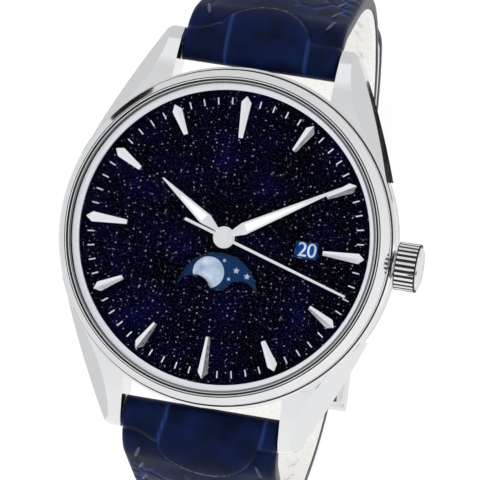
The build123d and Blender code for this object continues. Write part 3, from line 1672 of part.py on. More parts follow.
pieces = {
    "mid_case": mid_case,
    "bezel": bezel,
    "crystal": crystal,
    "crystal_gasket": crystal_gasket,
    "rehaut_ring": rehaut_ring,
    "case_back": case_back,
    "back_crystal": back_crystal,
    "back_gasket": back_gasket,
    "crown_tube": crown_tube,
    "crown": crown,
    "crown_gasket": crown_gasket,
    "winding_stem": winding_stem,
    "dial": dial,
    "hour_markers": hour_markers,
    "minute_marks": minute_marks,
    "hour_hand": hour_hand,
    "hour_hand_lume": hour_hand_lume,
    "minute_hand": minute_hand,
    "minute_hand_lume": minute_hand_lume,
    "seconds_hand": seconds_hand,
    "cannon_pinion": cannon_pinion,
    "minute_wheel": minute_wheel,
    "hour_wheel": hour_wheel,
    "calendar_idler": calendar_idler,
    "date_drive_wheel": date_drive_wheel,
    "moon_drive_wheel": moon_drive_wheel,
    "date_ring": date_ring,
    "moon_disc": moon_disc,
    "moon_figures": moon_figures,
    "main_plate": main_plate,
    "train_bridge": train_bridge,
    "balance_cock": balance_cock,
    "pallet_bridge": pallet_bridge,
    "bridge_screws": bridge_screws,
    "jewel_bearings": jewel_bearings,
    "movement_holder": movement_holder,
    "mainspring_barrel": barrel_part,
    "mainspring": mainspring,
    "barrel_arbor": barrel_arbor,
    "centre_wheel": centre_wheel,
    "third_wheel": third_wheel,
    "fourth_wheel": fourth_wheel,
    "escape_wheel": escape_wheel,
    "pallet_fork": pallet_fork,
    "balance_wheel": balance_wheel,
    "hairspring": hairspring,
    "ratchet_wheel": ratchet_wheel,
    "crown_wheel": crown_wheel,
    "winding_pinion": winding_pinion,
    "clutch_wheel": clutch_wheel,
    "rotor": rotor,
    "rotor_bearing": rotor_bearing,
    "strap_short": strap_short,
    "strap_long": strap_long,
    "lug_spring_bars": lug_spring_bars,
    "buckle_spring_bar": buckle_spring_bar,
    "buckle_frame": buckle_frame,
    "buckle_tang": buckle_tang,
    "fixed_keeper": fixed_keeper,
    "free_keeper": free_keeper,
}

os.makedirs("parts", exist_ok=True)
for name, piece in pieces.items():
    piece.part.label = name
    export_step(piece.part, f"parts/{name}.step")
print(len(pieces), "nodes, foot at", round(foot_height, 3))
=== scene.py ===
"""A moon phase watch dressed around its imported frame: case, dial, hands, strap and movement."""

from math import cos, exp, pi, radians, sin, sqrt

import bmesh
import bpy
from mathutils import Matrix, Vector, kdtree, noise


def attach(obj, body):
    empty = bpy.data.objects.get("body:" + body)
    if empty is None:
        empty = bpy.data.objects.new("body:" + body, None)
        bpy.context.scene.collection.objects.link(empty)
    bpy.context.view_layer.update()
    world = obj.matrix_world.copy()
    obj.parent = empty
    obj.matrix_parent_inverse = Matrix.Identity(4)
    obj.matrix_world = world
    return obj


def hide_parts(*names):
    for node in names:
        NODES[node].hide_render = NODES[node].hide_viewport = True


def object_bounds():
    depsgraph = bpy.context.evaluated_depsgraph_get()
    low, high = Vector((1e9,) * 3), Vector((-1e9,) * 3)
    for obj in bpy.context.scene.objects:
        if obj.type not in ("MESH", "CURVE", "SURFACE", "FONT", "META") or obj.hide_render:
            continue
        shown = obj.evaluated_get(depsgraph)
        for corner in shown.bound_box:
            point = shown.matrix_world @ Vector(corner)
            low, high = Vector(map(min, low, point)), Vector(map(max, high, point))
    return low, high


bl_info = {
    "name": "Moon Phase Watch",
    "version": (1, 0, 0),
    "blender": (4, 5, 0),
    "location": "3D View > Sidebar > Watch",
    "description": "Builds the visible pieces and finishes of a moon phase watch",
    "category": "Add Mesh",
}

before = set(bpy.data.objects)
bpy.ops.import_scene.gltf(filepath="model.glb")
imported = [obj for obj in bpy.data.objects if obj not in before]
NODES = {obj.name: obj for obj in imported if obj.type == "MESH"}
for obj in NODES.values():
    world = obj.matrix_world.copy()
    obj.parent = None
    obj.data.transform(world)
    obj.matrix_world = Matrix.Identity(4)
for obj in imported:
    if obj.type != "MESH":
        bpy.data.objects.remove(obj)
CAD_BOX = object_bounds()

MM = 0.001

# Outlines of the turned pieces in millimetres, as (radius, height over the back's outer face)

BEZEL_OUTLINE = (
    (19.06, 7.7), (20.33, 7.7), (20.33, 7.82), (20.5, 8.0), (20.5, 8.75), (19.62, 10.28),
    (19.46, 10.28), (19.46, 10.4), (19.31, 10.4), (19.31, 9.05), (19.06, 9.05),
)
FLANGE_OUTLINE = ((18.2, 7.7), (19.05, 7.7), (19.05, 9.05), (18.84, 9.05), (18.3, 8.9), (18.05, 8.75))
# Black rings of painted shade: one in the bezel's step, one under its foot, where the real case has only
# gaps
STEP_GROOVE_SHADE_OUTLINE = ((19.47, 10.2), (19.57, 10.2), (19.57, 10.295), (19.47, 10.295))
BEZEL_FOOT_SHADE_OUTLINE = ((20.35, 7.4), (20.72, 7.4), (20.72, 7.62), (20.35, 7.62))
# A real gasket, made black so that it also paints the thin shade line round the crystal's edge
CRYSTAL_SEAL_OUTLINE = (
    (18.85, 9.05), (19.3, 9.05), (19.3, 10.28), (19.12, 10.28), (19.12, 9.2), (18.85, 9.2),
)
TENSION_RING_OUTLINE = ((19.0, 9.22), (19.11, 9.22), (19.11, 10.2), (19.07, 10.27), (19.0, 10.27))
BACK_WINDOW_OUTLINE = ((0, 0.25), (13.3, 0.25), (13.3, 1.25), (0, 1.25))
SECONDS_PIN_OUTLINE = ((0, 8.9), (0.22, 8.9), (0.22, 9.02), (0.16, 9.06), (0, 9.06))
# A black core in the crown's flutes paints the shade at their floor; it lies round the crown's own axis, so
# these heights run outwards along that axis
CROWN_GROOVE_SHADE_OUTLINE = ((2.6, 21.2), (2.955, 21.2), (2.955, 23.82), (2.6, 23.82))
CROWN_AXIS_HEIGHT = 4.9

CRYSTAL_RADIUS, CRYSTAL_UNDERSIDE = 18.98, 9.2
BEVEL_FOOT = 10.31
DOME_RADIUS, DOME_FOOT, DOME_RISE = 18.72, 10.49, 0.31
DOME_STEPS = 12

# Sizes of the date, the lugs and the strap in millimetres

DAYS = 31
SHOWN_DAY = 20
DATE_RADIUS, DATE_HEIGHT = 10.2, 7.034
LUG_START, LUG_UNDERSIDE = 10, 2
FLANK_ROLL = 0.75

SPRING_BAR_REACH, SPRING_BAR_HEIGHT = 23.0, 2.6
SHORT_CORNER, LONG_CORNER = 22.0, 24.6
CORNER_START = 11.1132277
LONG_CORNER_START = 8.5132277
BUCKLE_BAR = 7.0
TAIL_RISE = 63.0
LONG_HUB_HEIGHT = -19.5323
NARROWING_HEIGHT = 35.6
TAIL_RADIUS = 7.04
NOSE_RADIUS, EYE_RADIUS, EYE_REACH = 1.9, 1.38, 1.4
STITCH_INSET, STITCH_START = 2.0, 4.6
HOLE_RADIUS, HOLE_PITCH, LAST_HOLE = 0.8, 6.2, -10.4
SCALES_START = 9.0


# Colours, finishes and mesh helpers


def hex_colour(code):
    """An sRGB hex value as the linear colour that shaders take; a setting's colour is linear already."""
    if not isinstance(code, str):
        return code[:]
    parts = [int(code[i : i + 2], 16) / 255 for i in (1, 3, 5)]
    return [p / 12.92 if p <= 0.04045 else ((p + 0.055) / 1.055) ** 2.4 for p in parts] + [1.0]


def add_node(tree, kind, links=None, **settings):
    """Adds a shader node. Settings name its properties or sockets, _1 for socket 1, and links sockets."""
    node = tree.nodes.new(kind)
    for key, value in settings.items():
        if hasattr(node, key):
            setattr(node, key, value)
    for key, value in settings.items():
        if not hasattr(node, key):
            socket = node.inputs[int(key[1:])] if key[0] == "_" else node.inputs[key.replace("_", " ")]
            socket.default_value = value
    for key, source in (links or {}).items():
        tree.links.new(source, node.inputs[key])
    return node


def new_finish(name):
    """An empty material with its output, ready for a surface."""
    finish = bpy.data.materials.new(name)
    finish.use_nodes = True
    tree = finish.node_tree
    tree.nodes.clear()
    output = tree.nodes.new("ShaderNodeOutputMaterial")
    return finish, tree, output


def principled_finish(name, colour, roughness, metallic=0.0, **settings):
    """A material on one Principled shader; its tree and shader come back for a pattern."""
    finish, tree, output = new_finish(name)
    shader = add_node(tree, "ShaderNodeBsdfPrincipled")
    shader.inputs["Base Color"].default_value = hex_colour(colour)
    shader.inputs["Roughness"].default_value = roughness
    shader.inputs["Metallic"].default_value = metallic
    for key, value in settings.items():
        shader.inputs[key.replace("_", " ")].default_value = value
    tree.links.new(shader.outputs["BSDF"], output.inputs["Surface"])
    return finish, tree, shader


def bump_into(tree, shader, height, strength, distance):
    """Feeds a height pattern to a shader's normal, in metres of real relief."""
    bump = add_node(tree, "ShaderNodeBump", {"Height": height}, Strength=strength, Distance=distance)
    tree.links.new(bump.outputs["Normal"], shader.inputs["Normal"])


def object_space(tree, rotation=(0, 0, 0), scale=(1, 1, 1)):
    """Object coordinates in metres, turned and stretched for a pattern."""
    coordinates = add_node(tree, "ShaderNodeTexCoord")
    mapping = add_node(tree, "ShaderNodeMapping", {"Vector": coordinates.outputs["Object"]})
    mapping.inputs["Rotation"].default_value = rotation
    mapping.inputs["Scale"].default_value = scale
    return mapping.outputs["Vector"]


def colour_ramp(tree, source, stops):
    """A colour ramp from (place, colour) stops."""
    ramp = add_node(tree, "ShaderNodeValToRGB", {"Fac": source})
    elements = ramp.color_ramp.elements
    while len(elements) < len(stops):
        elements.new(0.5)
    for element, (place, colour) in zip(elements, stops):
        element.position = place
        element.color = hex_colour(colour)
    return ramp.outputs["Color"]


def piece_from(bm, name, finishes, body, replaced=(), smooth=30, recalc=False, flat=False):
    """Turns a mesh drawn in millimetres into a finished piece that rides on a body."""
    if recalc:
        bmesh.ops.recalc_face_normals(bm, faces=bm.faces)
    bmesh.ops.scale(bm, vec=(MM, MM, MM), verts=bm.verts)
    mesh = bpy.data.meshes.new(name)
    bm.to_mesh(mesh)
    bm.free()
    mesh.shade_smooth()
    mesh.set_sharp_from_angle(angle=radians(smooth))
    for finish in finishes:
        mesh.materials.append(finish)
    piece = bpy.data.objects.new(name, mesh)
    bpy.context.scene.collection.objects.link(piece)
    if flat:
        shading = piece.modifiers.new("flat_faces", "WEIGHTED_NORMAL")
        shading.weight = 100
        shading.keep_sharp = True
    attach(piece, body)
    if replaced:
        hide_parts(*replaced)
    return piece


def turned(outline, steps):
    """A closed ring or disc spun about the axis of the hands from (radius, height) points."""
    bm = bmesh.new()
    ring = [bm.verts.new((r, 0, z)) for r, z in outline]
    edges = [bm.edges.new((a, b)) for a, b in zip(ring, ring[1:] + ring[:1])]
    bmesh.ops.spin(
        bm, geom=ring + edges, cent=(0, 0, 0), axis=(0, 0, 1), angle=2 * pi, steps=steps,
        use_merge=True, use_duplicate=False,
    )
    bmesh.ops.remove_doubles(bm, verts=bm.verts, dist=1e-5)
    bmesh.ops.recalc_face_normals(bm, faces=bm.faces)
    return bm


def soften(bm, width, angle, segments=2):
    """Breaks every edge sharper than an angle, as polishing does."""
    sharp = [e for e in bm.edges if len(e.link_faces) == 2 and e.calc_face_angle(0) > radians(angle)]
    bevel(bm, sharp, width, segments)


def bevel(bm, edges, width, segments):
    """Bevels edges by a width in millimetres."""
    bmesh.ops.bevel(
        bm, geom=edges, offset=width, segments=segments, profile=0.5, affect="EDGES",
        clamp_overlap=True, material=-1,
    )


def cad_copy(node):
    """A merged copy of a CAD node in millimetres, with its flat faces whole again."""
    bm = bmesh.new()
    bm.from_mesh(NODES[node].data)
    bmesh.ops.scale(bm, vec=(1 / MM, 1 / MM, 1 / MM), verts=bm.verts)
    bmesh.ops.remove_doubles(bm, verts=bm.verts, dist=1e-4)
    bmesh.ops.dissolve_limit(bm, angle_limit=radians(0.4), verts=bm.verts, edges=bm.edges)
    return bm


def finish_node(finish, *nodes):
    """Gives CAD nodes that stay in view a better material."""
    for node in nodes:
        for material_slot in NODES[node].material_slots:
            material_slot.material = finish


# Finishes of the real materials


def polished_steel():
    """316L stainless steel, mirror polished: near-white reflections broken by faint buffing waves."""
    finish, tree, shader = principled_finish("steel_316l_polished", "#f1f2f4", 0.07, 1.0)
    place = object_space(tree)
    waves = add_node(tree, "ShaderNodeTexNoise", {"Vector": place}, Scale=420.0, Detail=2.0)
    smears = add_node(
        tree, "ShaderNodeMapRange", {"Value": waves.outputs["Fac"]}, To_Min=0.045, To_Max=0.11
    )
    tree.links.new(smears.outputs["Result"], shader.inputs["Roughness"])
    bump_into(tree, shader, waves.outputs["Fac"], 0.04, 0.00002)
    return finish


def brushed_steel():
    """Tool steel of the works, lapped flat with fine straight grain about 0.05 mm wide."""
    finish, tree, shader = principled_finish("steel_lapped", "#b9bcc2", 0.26, 1.0)
    place = object_space(tree, rotation=(0, 0, radians(30)), scale=(1, 24, 1))
    grain = add_node(tree, "ShaderNodeTexNoise", {"Vector": place}, Scale=900.0, Detail=3.0)
    spread = add_node(tree, "ShaderNodeMapRange", {"Value": grain.outputs["Fac"]}, To_Min=0.18, To_Max=0.36)
    tree.links.new(spread.outputs["Result"], shader.inputs["Roughness"])
    bump_into(tree, shader, grain.outputs["Fac"], 0.08, 0.00002)
    return finish


def rhodium_hands():
    """Rhodium-plated brass of hands and markers, diamond cut: bright facets with a soft glow."""
    finish, tree, shader = principled_finish("rhodium_diamond_cut", "#ffffff", 0.13, 1.0)
    place = object_space(tree)
    cut = add_node(tree, "ShaderNodeTexNoise", {"Vector": place}, Scale=1500.0, Detail=1.0)
    spread = add_node(tree, "ShaderNodeMapRange", {"Value": cut.outputs["Fac"]}, To_Min=0.12, To_Max=0.24)
    tree.links.new(spread.outputs["Result"], shader.inputs["Roughness"])
    return finish


def gilt_brass():
    """Gilt brass of the wheels: warm yellow, with a fine even grain."""
    finish, tree, shader = principled_finish("brass_gilt", "#d9b066", 0.28, 1.0)
    place = object_space(tree)
    grain = add_node(tree, "ShaderNodeTexNoise", {"Vector": place}, Scale=2600.0, Detail=2.0)
    colour = colour_ramp(tree, grain.outputs["Fac"], ((0.3, "#c99c50"), (0.7, "#e2bd78")))
    tree.links.new(colour, shader.inputs["Base Color"])
    spread = add_node(tree, "ShaderNodeMapRange", {"Value": grain.outputs["Fac"]}, To_Min=0.2, To_Max=0.38)
    tree.links.new(spread.outputs["Result"], shader.inputs["Roughness"])
    return finish


def striped_rhodium():
    """Rhodium-plated bridge, ground in straight stripes 3 mm wide that catch the light in turn."""
    finish, tree, shader = principled_finish("rhodium_striped", "#c9cbce", 0.24, 1.0)
    place = object_space(tree, rotation=(0, 0, radians(-35)))
    stripes = add_node(
        tree, "ShaderNodeTexWave", {"Vector": place}, Scale=105.0,
        wave_type="BANDS", bands_direction="X", wave_profile="SAW",
    )
    colour = colour_ramp(tree, stripes.outputs["Fac"], ((0.0, "#9fa3a9"), (1.0, "#e3e5e7")))
    tree.links.new(colour, shader.inputs["Base Color"])
    bump_into(tree, shader, stripes.outputs["Fac"], 0.5, 0.00006)
    return finish


def spotted_rhodium():
    """Main plate with overlapping ground spots 0.9 mm across, under rhodium."""
    finish, tree, shader = principled_finish("rhodium_spotted", "#b7babf", 0.3, 1.0)
    place = object_space(tree)
    spots = add_node(tree, "ShaderNodeTexVoronoi", {"Vector": place}, Scale=1100.0, Randomness=0.0)
    colour = colour_ramp(tree, spots.outputs["Distance"], ((0.0, "#8f939a"), (0.7, "#d6d8db")))
    tree.links.new(colour, shader.inputs["Base Color"])
    bump_into(tree, shader, spots.outputs["Distance"], 0.4, 0.00005)
    return finish


def blued_steel():
    """Heat-blued steel: polished, with an oxide film that drifts from blue to violet."""
    finish, tree, shader = principled_finish("steel_heat_blued", "#1a3f9c", 0.15, 1.0)
    place = object_space(tree)
    drift = add_node(tree, "ShaderNodeTexNoise", {"Vector": place}, Scale=180.0)
    colour = colour_ramp(tree, drift.outputs["Fac"], ((0.35, "#1d3ea6"), (0.7, "#3a2f8f")))
    tree.links.new(colour, shader.inputs["Base Color"])
    return finish


def ruby():
    """Synthetic ruby of the jewels: deep pink-red, polished, with light inside."""
    finish, tree, shader = principled_finish(
        "ruby_synthetic", "#c2123f", 0.04, 0.0, IOR=1.76, Subsurface_Weight=0.35, Subsurface_Scale=0.0004
    )
    place = object_space(tree)
    depth = add_node(tree, "ShaderNodeTexNoise", {"Vector": place}, Scale=1500.0)
    colour = colour_ramp(tree, depth.outputs["Fac"], ((0.3, "#a30d35"), (0.7, "#d8285a")))
    tree.links.new(colour, shader.inputs["Base Color"])
    return finish


def sapphire(name, shine):
    """Sapphire: what is under it shows, and it mirrors at a glance, less so with a coat against glare."""
    finish, tree, output = new_finish(name)
    clear = add_node(tree, "ShaderNodeBsdfTransparent")
    clear.inputs["Color"].default_value = hex_colour("#fbfcfd")
    mirror = add_node(tree, "ShaderNodeBsdfGlossy", Roughness=0.01)
    glance = add_node(tree, "ShaderNodeFresnel", IOR=1.77)
    share = add_node(tree, "ShaderNodeMath", {0: glance.outputs["Fac"]}, operation="MULTIPLY", _1=shine)
    mix = add_node(
        tree, "ShaderNodeMixShader",
        {"Fac": share.outputs["Value"], 1: clear.outputs["BSDF"], 2: mirror.outputs["BSDF"]},
    )
    tree.links.new(mix.outputs["Shader"], output.inputs["Surface"])
    return finish


def crystal_bevel():
    """Polished bevel round the crystal. Seen so flatly it mirrors the room in grey, as grey metal does."""
    finish, tree, shader = principled_finish("sapphire_bevel", "#787a7e", 0.05, 1.0)
    place = object_space(tree)
    polish = add_node(tree, "ShaderNodeTexNoise", {"Vector": place}, Scale=900.0)
    spread = add_node(
        tree, "ShaderNodeMapRange", {"Value": polish.outputs["Fac"]}, To_Min=0.03, To_Max=0.07
    )
    tree.links.new(spread.outputs["Result"], shader.inputs["Roughness"])
    return finish


def aventurine():
    """Aventurine glass of the dial: blue-black, full of copper flakes whose glints are painted into the base
    colour as white and blue spots.

    Real flakes are 0.02 to 0.05 mm; they are drawn up to 0.15 mm wide so that a render shows them."""
    finish, tree, shader = principled_finish(
        "aventurine_glass_blue", "#05052d", 0.2, 0.0, Specular_IOR_Level=0.01
    )
    place = object_space(tree)
    clouds = add_node(
        tree, "ShaderNodeTexNoise", {"Vector": place}, Scale=170.0, Detail=3.0, Roughness=0.6
    )
    depths = ((0.4, "#000005"), (0.6, "#010118"), (0.8, "#030334"))
    colour = colour_ramp(tree, clouds.outputs["Fac"], depths)
    # Cells per metre, a flake's reach in its cell, the colour of its painted highlight, and how rare it is
    flakes = (
        (1050.0, 0.08, "#ffffff", 0.42),
        (1500.0, 0.09, "#b9bdf0", 0.62),
        (2100.0, 0.11, "#5a60c8", 0.78),
    )
    for scale, reach, painted_glint, least in flakes:
        cells = add_node(
            tree, "ShaderNodeTexVoronoi", {"Vector": place}, voronoi_dimensions="2D", Scale=scale
        )
        chance = add_node(tree, "ShaderNodeSeparateColor", {"Color": cells.outputs["Color"]})
        dot = add_node(
            tree, "ShaderNodeMapRange", {"Value": cells.outputs["Distance"]},
            From_Min=reach, From_Max=reach * 0.4,
        )
        lit = add_node(
            tree, "ShaderNodeMapRange", {"Value": chance.outputs["Red"]}, From_Min=least, From_Max=1.0
        )
        amount = add_node(
            tree, "ShaderNodeMath", {0: dot.outputs["Result"], 1: lit.outputs["Result"]},
            operation="MULTIPLY",
        )
        # Each flake's painted highlight is mixed into the base colour
        mix = add_node(
            tree, "ShaderNodeMix", {"Factor": amount.outputs["Value"], 6: colour}, data_type="RGBA"
        )
        mix.inputs[7].default_value = hex_colour(painted_glint)
        colour = mix.outputs[2]
    tree.links.new(colour, shader.inputs["Base Color"])
    return finish


def printed(name, colour, roughness=0.45):
    """Pad-printed or lacquered colour with a faint mottle."""
    finish, tree, shader = principled_finish(name, colour, roughness, 0.0, Specular_IOR_Level=0.06)
    place = object_space(tree)
    mottle = add_node(tree, "ShaderNodeTexNoise", {"Vector": place}, Scale=1300.0)
    spread = add_node(
        tree, "ShaderNodeMapRange", {"Value": mottle.outputs["Fac"]},
        To_Min=roughness - 0.06, To_Max=roughness + 0.08,
    )
    tree.links.new(spread.outputs["Result"], shader.inputs["Roughness"])
    return finish


def moon_silver():
    """Silver print of the moon, with grey-blue seas and paler highlands."""
    finish, tree, shader = principled_finish("moon_print_silver", "#b3c0d3", 0.4)
    place = object_space(tree)
    seas = add_node(tree, "ShaderNodeTexNoise", {"Vector": place}, Scale=700.0, Detail=5.0)
    greys = ((0.35, "#8ea1bf"), (0.52, "#b3c0d3"), (0.7, "#d5deea"))
    colour = colour_ramp(tree, seas.outputs["Fac"], greys)
    tree.links.new(colour, shader.inputs["Base Color"])
    return finish


def lume():
    """Luminous paint: thick matte white with a fine grain."""
    finish, tree, shader = principled_finish("lume_paint_white", "#fbfcfa", 0.7)
    place = object_space(tree)
    grain = add_node(tree, "ShaderNodeTexNoise", {"Vector": place}, Scale=3200.0, Detail=2.0)
    bump_into(tree, shader, grain.outputs["Fac"], 0.15, 0.00003)
    return finish


def calf_leather(dye, creases):
    """Calf leather embossed with scales, dyed navy and glazed: dark plates, paler in the creases."""
    finish, tree, shader = principled_finish(
        "calf_embossed_navy", "#0d1f45", 0.4, 0.0, IOR=1.16, Sheen_Weight=0.8, Sheen_Roughness=0.2
    )
    shader.inputs["Sheen Tint"].default_value = hex_colour("#b9c1dc")
    place = object_space(tree)
    crease = add_node(tree, "ShaderNodeAttribute", attribute_name="crease")
    cloud = add_node(tree, "ShaderNodeTexNoise", {"Vector": place}, Scale=300.0, Detail=3.0)
    plates = colour_ramp(tree, cloud.outputs["Fac"], ((0.3, "#020921"), (0.7, dye)))
    mix = add_node(tree, "ShaderNodeMix", {"Factor": crease.outputs["Fac"], 6: plates}, data_type="RGBA")
    mix.inputs[7].default_value = hex_colour(creases)
    tree.links.new(mix.outputs[2], shader.inputs["Base Color"])
    pores = add_node(tree, "ShaderNodeTexVoronoi", {"Vector": place}, Scale=2600.0)
    wrinkles = add_node(tree, "ShaderNodeTexNoise", {"Vector": place}, Scale=1200.0, Detail=4.0)
    relief = add_node(
        tree, "ShaderNodeMath", {0: pores.outputs["Distance"], 1: wrinkles.outputs["Fac"]}, operation="ADD"
    )
    bump_into(tree, shader, relief.outputs["Value"], 0.18, 0.00005)
    shine = add_node(
        tree, "ShaderNodeMapRange", {"Value": wrinkles.outputs["Fac"]}, To_Min=0.34, To_Max=0.55
    )
    tree.links.new(shine.outputs["Result"], shader.inputs["Roughness"])
    return finish


def lining_leather():
    """Lining of pale nubuck: fine nap and hardly any shine."""
    finish, tree, shader = principled_finish("nubuck_lining", "#efece6", 0.75, 0.0, Sheen_Weight=0.2)
    place = object_space(tree)
    nap = add_node(tree, "ShaderNodeTexNoise", {"Vector": place}, Scale=2200.0, Detail=5.0)
    colour = colour_ramp(tree, nap.outputs["Fac"], ((0.3, "#f0eeea"), (0.7, "#faf9f7")))
    tree.links.new(colour, shader.inputs["Base Color"])
    bump_into(tree, shader, nap.outputs["Fac"], 0.35, 0.00006)
    return finish


def edge_paint(colour):
    """Painted leather edge: navy-black, smooth and slightly glossy."""
    finish, tree, shader = principled_finish("edge_paint_navy", colour, 0.35)
    place = object_space(tree)
    brush = add_node(tree, "ShaderNodeTexNoise", {"Vector": place}, Scale=900.0)
    bump_into(tree, shader, brush.outputs["Fac"], 0.2, 0.00004)
    return finish


def thread(name, shaded_hollow, crest):
    """Waxed polyester thread, with a twist every 0.6 mm; the twist's hollows are darker with painted shade.
    """
    finish, tree, shader = principled_finish(name, crest, 0.55, 0.0, Sheen_Weight=0.2)
    place = object_space(tree, rotation=(0.4, 0.3, radians(40)))
    twist = add_node(tree, "ShaderNodeTexWave", {"Vector": place}, Scale=520.0, Distortion=1.0)
    colour = colour_ramp(tree, twist.outputs["Fac"], ((0.0, shaded_hollow), (1.0, crest)))
    tree.links.new(colour, shader.inputs["Base Color"])
    bump_into(tree, shader, twist.outputs["Fac"], 0.5, 0.00005)
    return finish


def satin_silver():
    """Silver-plated flange, fine blasted: scatters the light evenly."""
    finish, tree, shader = principled_finish("silver_blasted", "#f7f8fa", 0.3, 0.6)
    place = object_space(tree)
    blast = add_node(tree, "ShaderNodeTexNoise", {"Vector": place}, Scale=4000.0, Detail=1.0)
    spread = add_node(tree, "ShaderNodeMapRange", {"Value": blast.outputs["Fac"]}, To_Min=0.24, To_Max=0.4)
    tree.links.new(spread.outputs["Result"], shader.inputs["Roughness"])
    return finish


def rubber():
    """Moulded nitrile gasket: black and matte, with a dry bloom."""
    finish, tree, shader = principled_finish("nitrile_black", "#060607", 0.6)
    place = object_space(tree)
    bloom = add_node(tree, "ShaderNodeTexNoise", {"Vector": place}, Scale=800.0)
    spread = add_node(tree, "ShaderNodeMapRange", {"Value": bloom.outputs["Fac"]}, To_Min=0.5, To_Max=0.75)
    tree.links.new(spread.outputs["Result"], shader.inputs["Roughness"])
    return finish


FINISHES = {}


def make_finishes(colours):
    """Makes each finish once; the pieces share them."""
    FINISHES.update(
        steel=polished_steel(),
        lapped=brushed_steel(),
        rhodium=rhodium_hands(),
        gilt=gilt_brass(),
        striped=striped_rhodium(),
        spotted=spotted_rhodium(),
        blued=blued_steel(),
        ruby=ruby(),
        sapphire=sapphire("sapphire_coated", 0.02),
        back_glass=sapphire("sapphire_plain", 0.6),
        bevel=crystal_bevel(),
        dial=aventurine(),
        date=printed("date_disc_blue", colours.date_ring),
        digits=printed("date_print_pale", "#dfe7f2"),
        moon_sky=printed("moon_disc_blue", colours.moon_disc, 0.35),
        marks=printed("minute_print_white", colours.minute_marks),
        moon=moon_silver(),
        lume=lume(),
        leather=calf_leather(colours.leather, colours.creases),
        lining=lining_leather(),
        edge=edge_paint(colours.strap_edge),
        # The first colour of each thread is its painted shade in the twist's hollows
        thread=thread("thread_waxed_navy", "#081338", "#16296a"),
        flange=satin_silver(),
        gasket=rubber(),
        bobbin=thread("thread_waxed_pale", "#d8d5ce", "#efede8"),
    )


# Sizes and colours that a user would change


def length_setting(name, description, default):
    """A setting in metres, shown in the scene's unit."""
    return bpy.props.FloatProperty(
        name=name, description=description, default=default, unit="LENGTH", precision=5
    )


def colour_setting(name, description, code):
    """A colour setting whose default is an sRGB hex value."""
    return bpy.props.FloatVectorProperty(
        name=name, description=description, default=hex_colour(code), subtype="COLOR", size=4, min=0, max=1
    )


class StageSettings(bpy.types.PropertyGroup):
    """Where the camera stands, and how bright the surroundings are"""

    lens: bpy.props.FloatProperty(
        name="Lens", description="Focal length on a 36 mm sensor", default=273.375, unit="CAMERA"
    )
    camera_place: bpy.props.FloatVectorProperty(
        name="Camera place", description="Where the camera stands",
        default=(0.079405, -0.003687, 0.446664), subtype="TRANSLATION", unit="LENGTH",
    )
    camera_turn: bpy.props.FloatVectorProperty(
        name="Camera turn", description="How the camera is turned",
        default=(0.036474, 0.171142, 0.163518), subtype="EULER", unit="ROTATION",
    )
    backdrop: colour_setting("Backdrop", "Colour of the floor and the surroundings", "#ffffff")
    mirrored_room: bpy.props.FloatProperty(
        name="Mirrored room", description="How bright the room is in a mirror", default=0.79
    )
    mirrored_floor: bpy.props.FloatProperty(
        name="Mirrored floor", description="How bright the floor is in a mirror", default=0.8
    )
    room_light: bpy.props.FloatProperty(
        name="Room light", description="Strength of the soft light all round", default=0.86
    )


class ColourSettings(bpy.types.PropertyGroup):
    """Colours of the dial's discs and of the strap"""

    date_ring: colour_setting("Date ring", "Lacquer under the numbers", "#0b4596")
    moon_disc: colour_setting("Moon disc", "Night sky behind the moon", "#0d2f57")
    minute_marks: colour_setting("Minute marks", "Print between the hours", "#dfe3ea")
    leather: colour_setting("Leather", "Strap's scales where the dye is fullest", "#07173f")
    creases: colour_setting("Creases", "Between the strap's scales", "#233f78")
    strap_edge: colour_setting("Strap edge", "Paint on the strap's cut edges", "#0a1226")


class CaseSettings(bpy.types.PropertyGroup):
    """How the metal is polished and turned"""

    edge_break: length_setting("Edge break", "How far polishing rounds each edge", 0.00008)
    spin_steps: bpy.props.IntProperty(
        name="Spin steps", description="Flats round a turned piece", default=192, min=48
    )


class StrapSettings(bpy.types.PropertyGroup):
    """Sizes of the leather strap"""

    thickness: length_setting("Thickness", "Leather, filler and lining together", 0.0022)
    lug_width: length_setting("Width at the lugs", "Across the strap between the lugs", 0.0196)
    buckle_width: length_setting("Width at the buckle", "Across the strap at the buckle", 0.0176)
    stitch_pitch: length_setting("Stitch pitch", "From one stitch to the next", 0.0036)
    crease_depth: length_setting("Crease depth", "How deep the scales are pressed", 0.0002)


# Stage

# Name, place, side in metres and watts of each lamp; mirrors don't see them
SOFT_BOXES = (
    ("soft_box_left", (-0.45, 0.25, 0.55), 0.5, 2.2),
    ("soft_box_right", (0.5, -0.3, 0.5), 0.4, 1.4),
)
# Name, place, radius and shade of each round card that faces the watch
FACING_CARDS = (
    ("white_reflector_right", (0.24, -0.02, -0.03), 0.09, "#ffffff"),
    ("white_reflector_left", (-0.13, 0.0, -0.04), 0.05, "#ffffff"),
    ("white_card_low_right", (0.42, -0.25, 0.13), 0.13, "#f4f4f4"),
)
# Name, place, half sizes, heading and shade of each level card: two lie on the floor and draw dark
# lines in the steel, two hang over the watch and darken one side of the hour markers
LEVEL_CARDS = (
    ("black_paper_left", (-0.066, 0.0545, -0.04635), (0.0125, 0.0095), 63, "#050506"),
    ("black_paper_right", (0.0198, 0.0212, -0.04635), (0.0092, 0.0027), -63, "#050506"),
    ("grey_flag_right", (0.036, -0.026, 0.058), (0.023, 0.008), 63, "#28282a"),
    ("grey_flag_front", (0.001, -0.0248, 0.026), (0.0125, 0.0026), 12, "#202022"),
)
FLOOR_HALF, FLOOR_GAP = 3.0, 0.0002
FLOOR_GLOW, FLOOR_GLOW_SHARE = 1.1, 0.78
FLOOR_DARKER, FLOOR_BRIGHTER = 0.12, 0.18
ROOM_SLANT = 0.13
BAND_LEVEL = 0.9


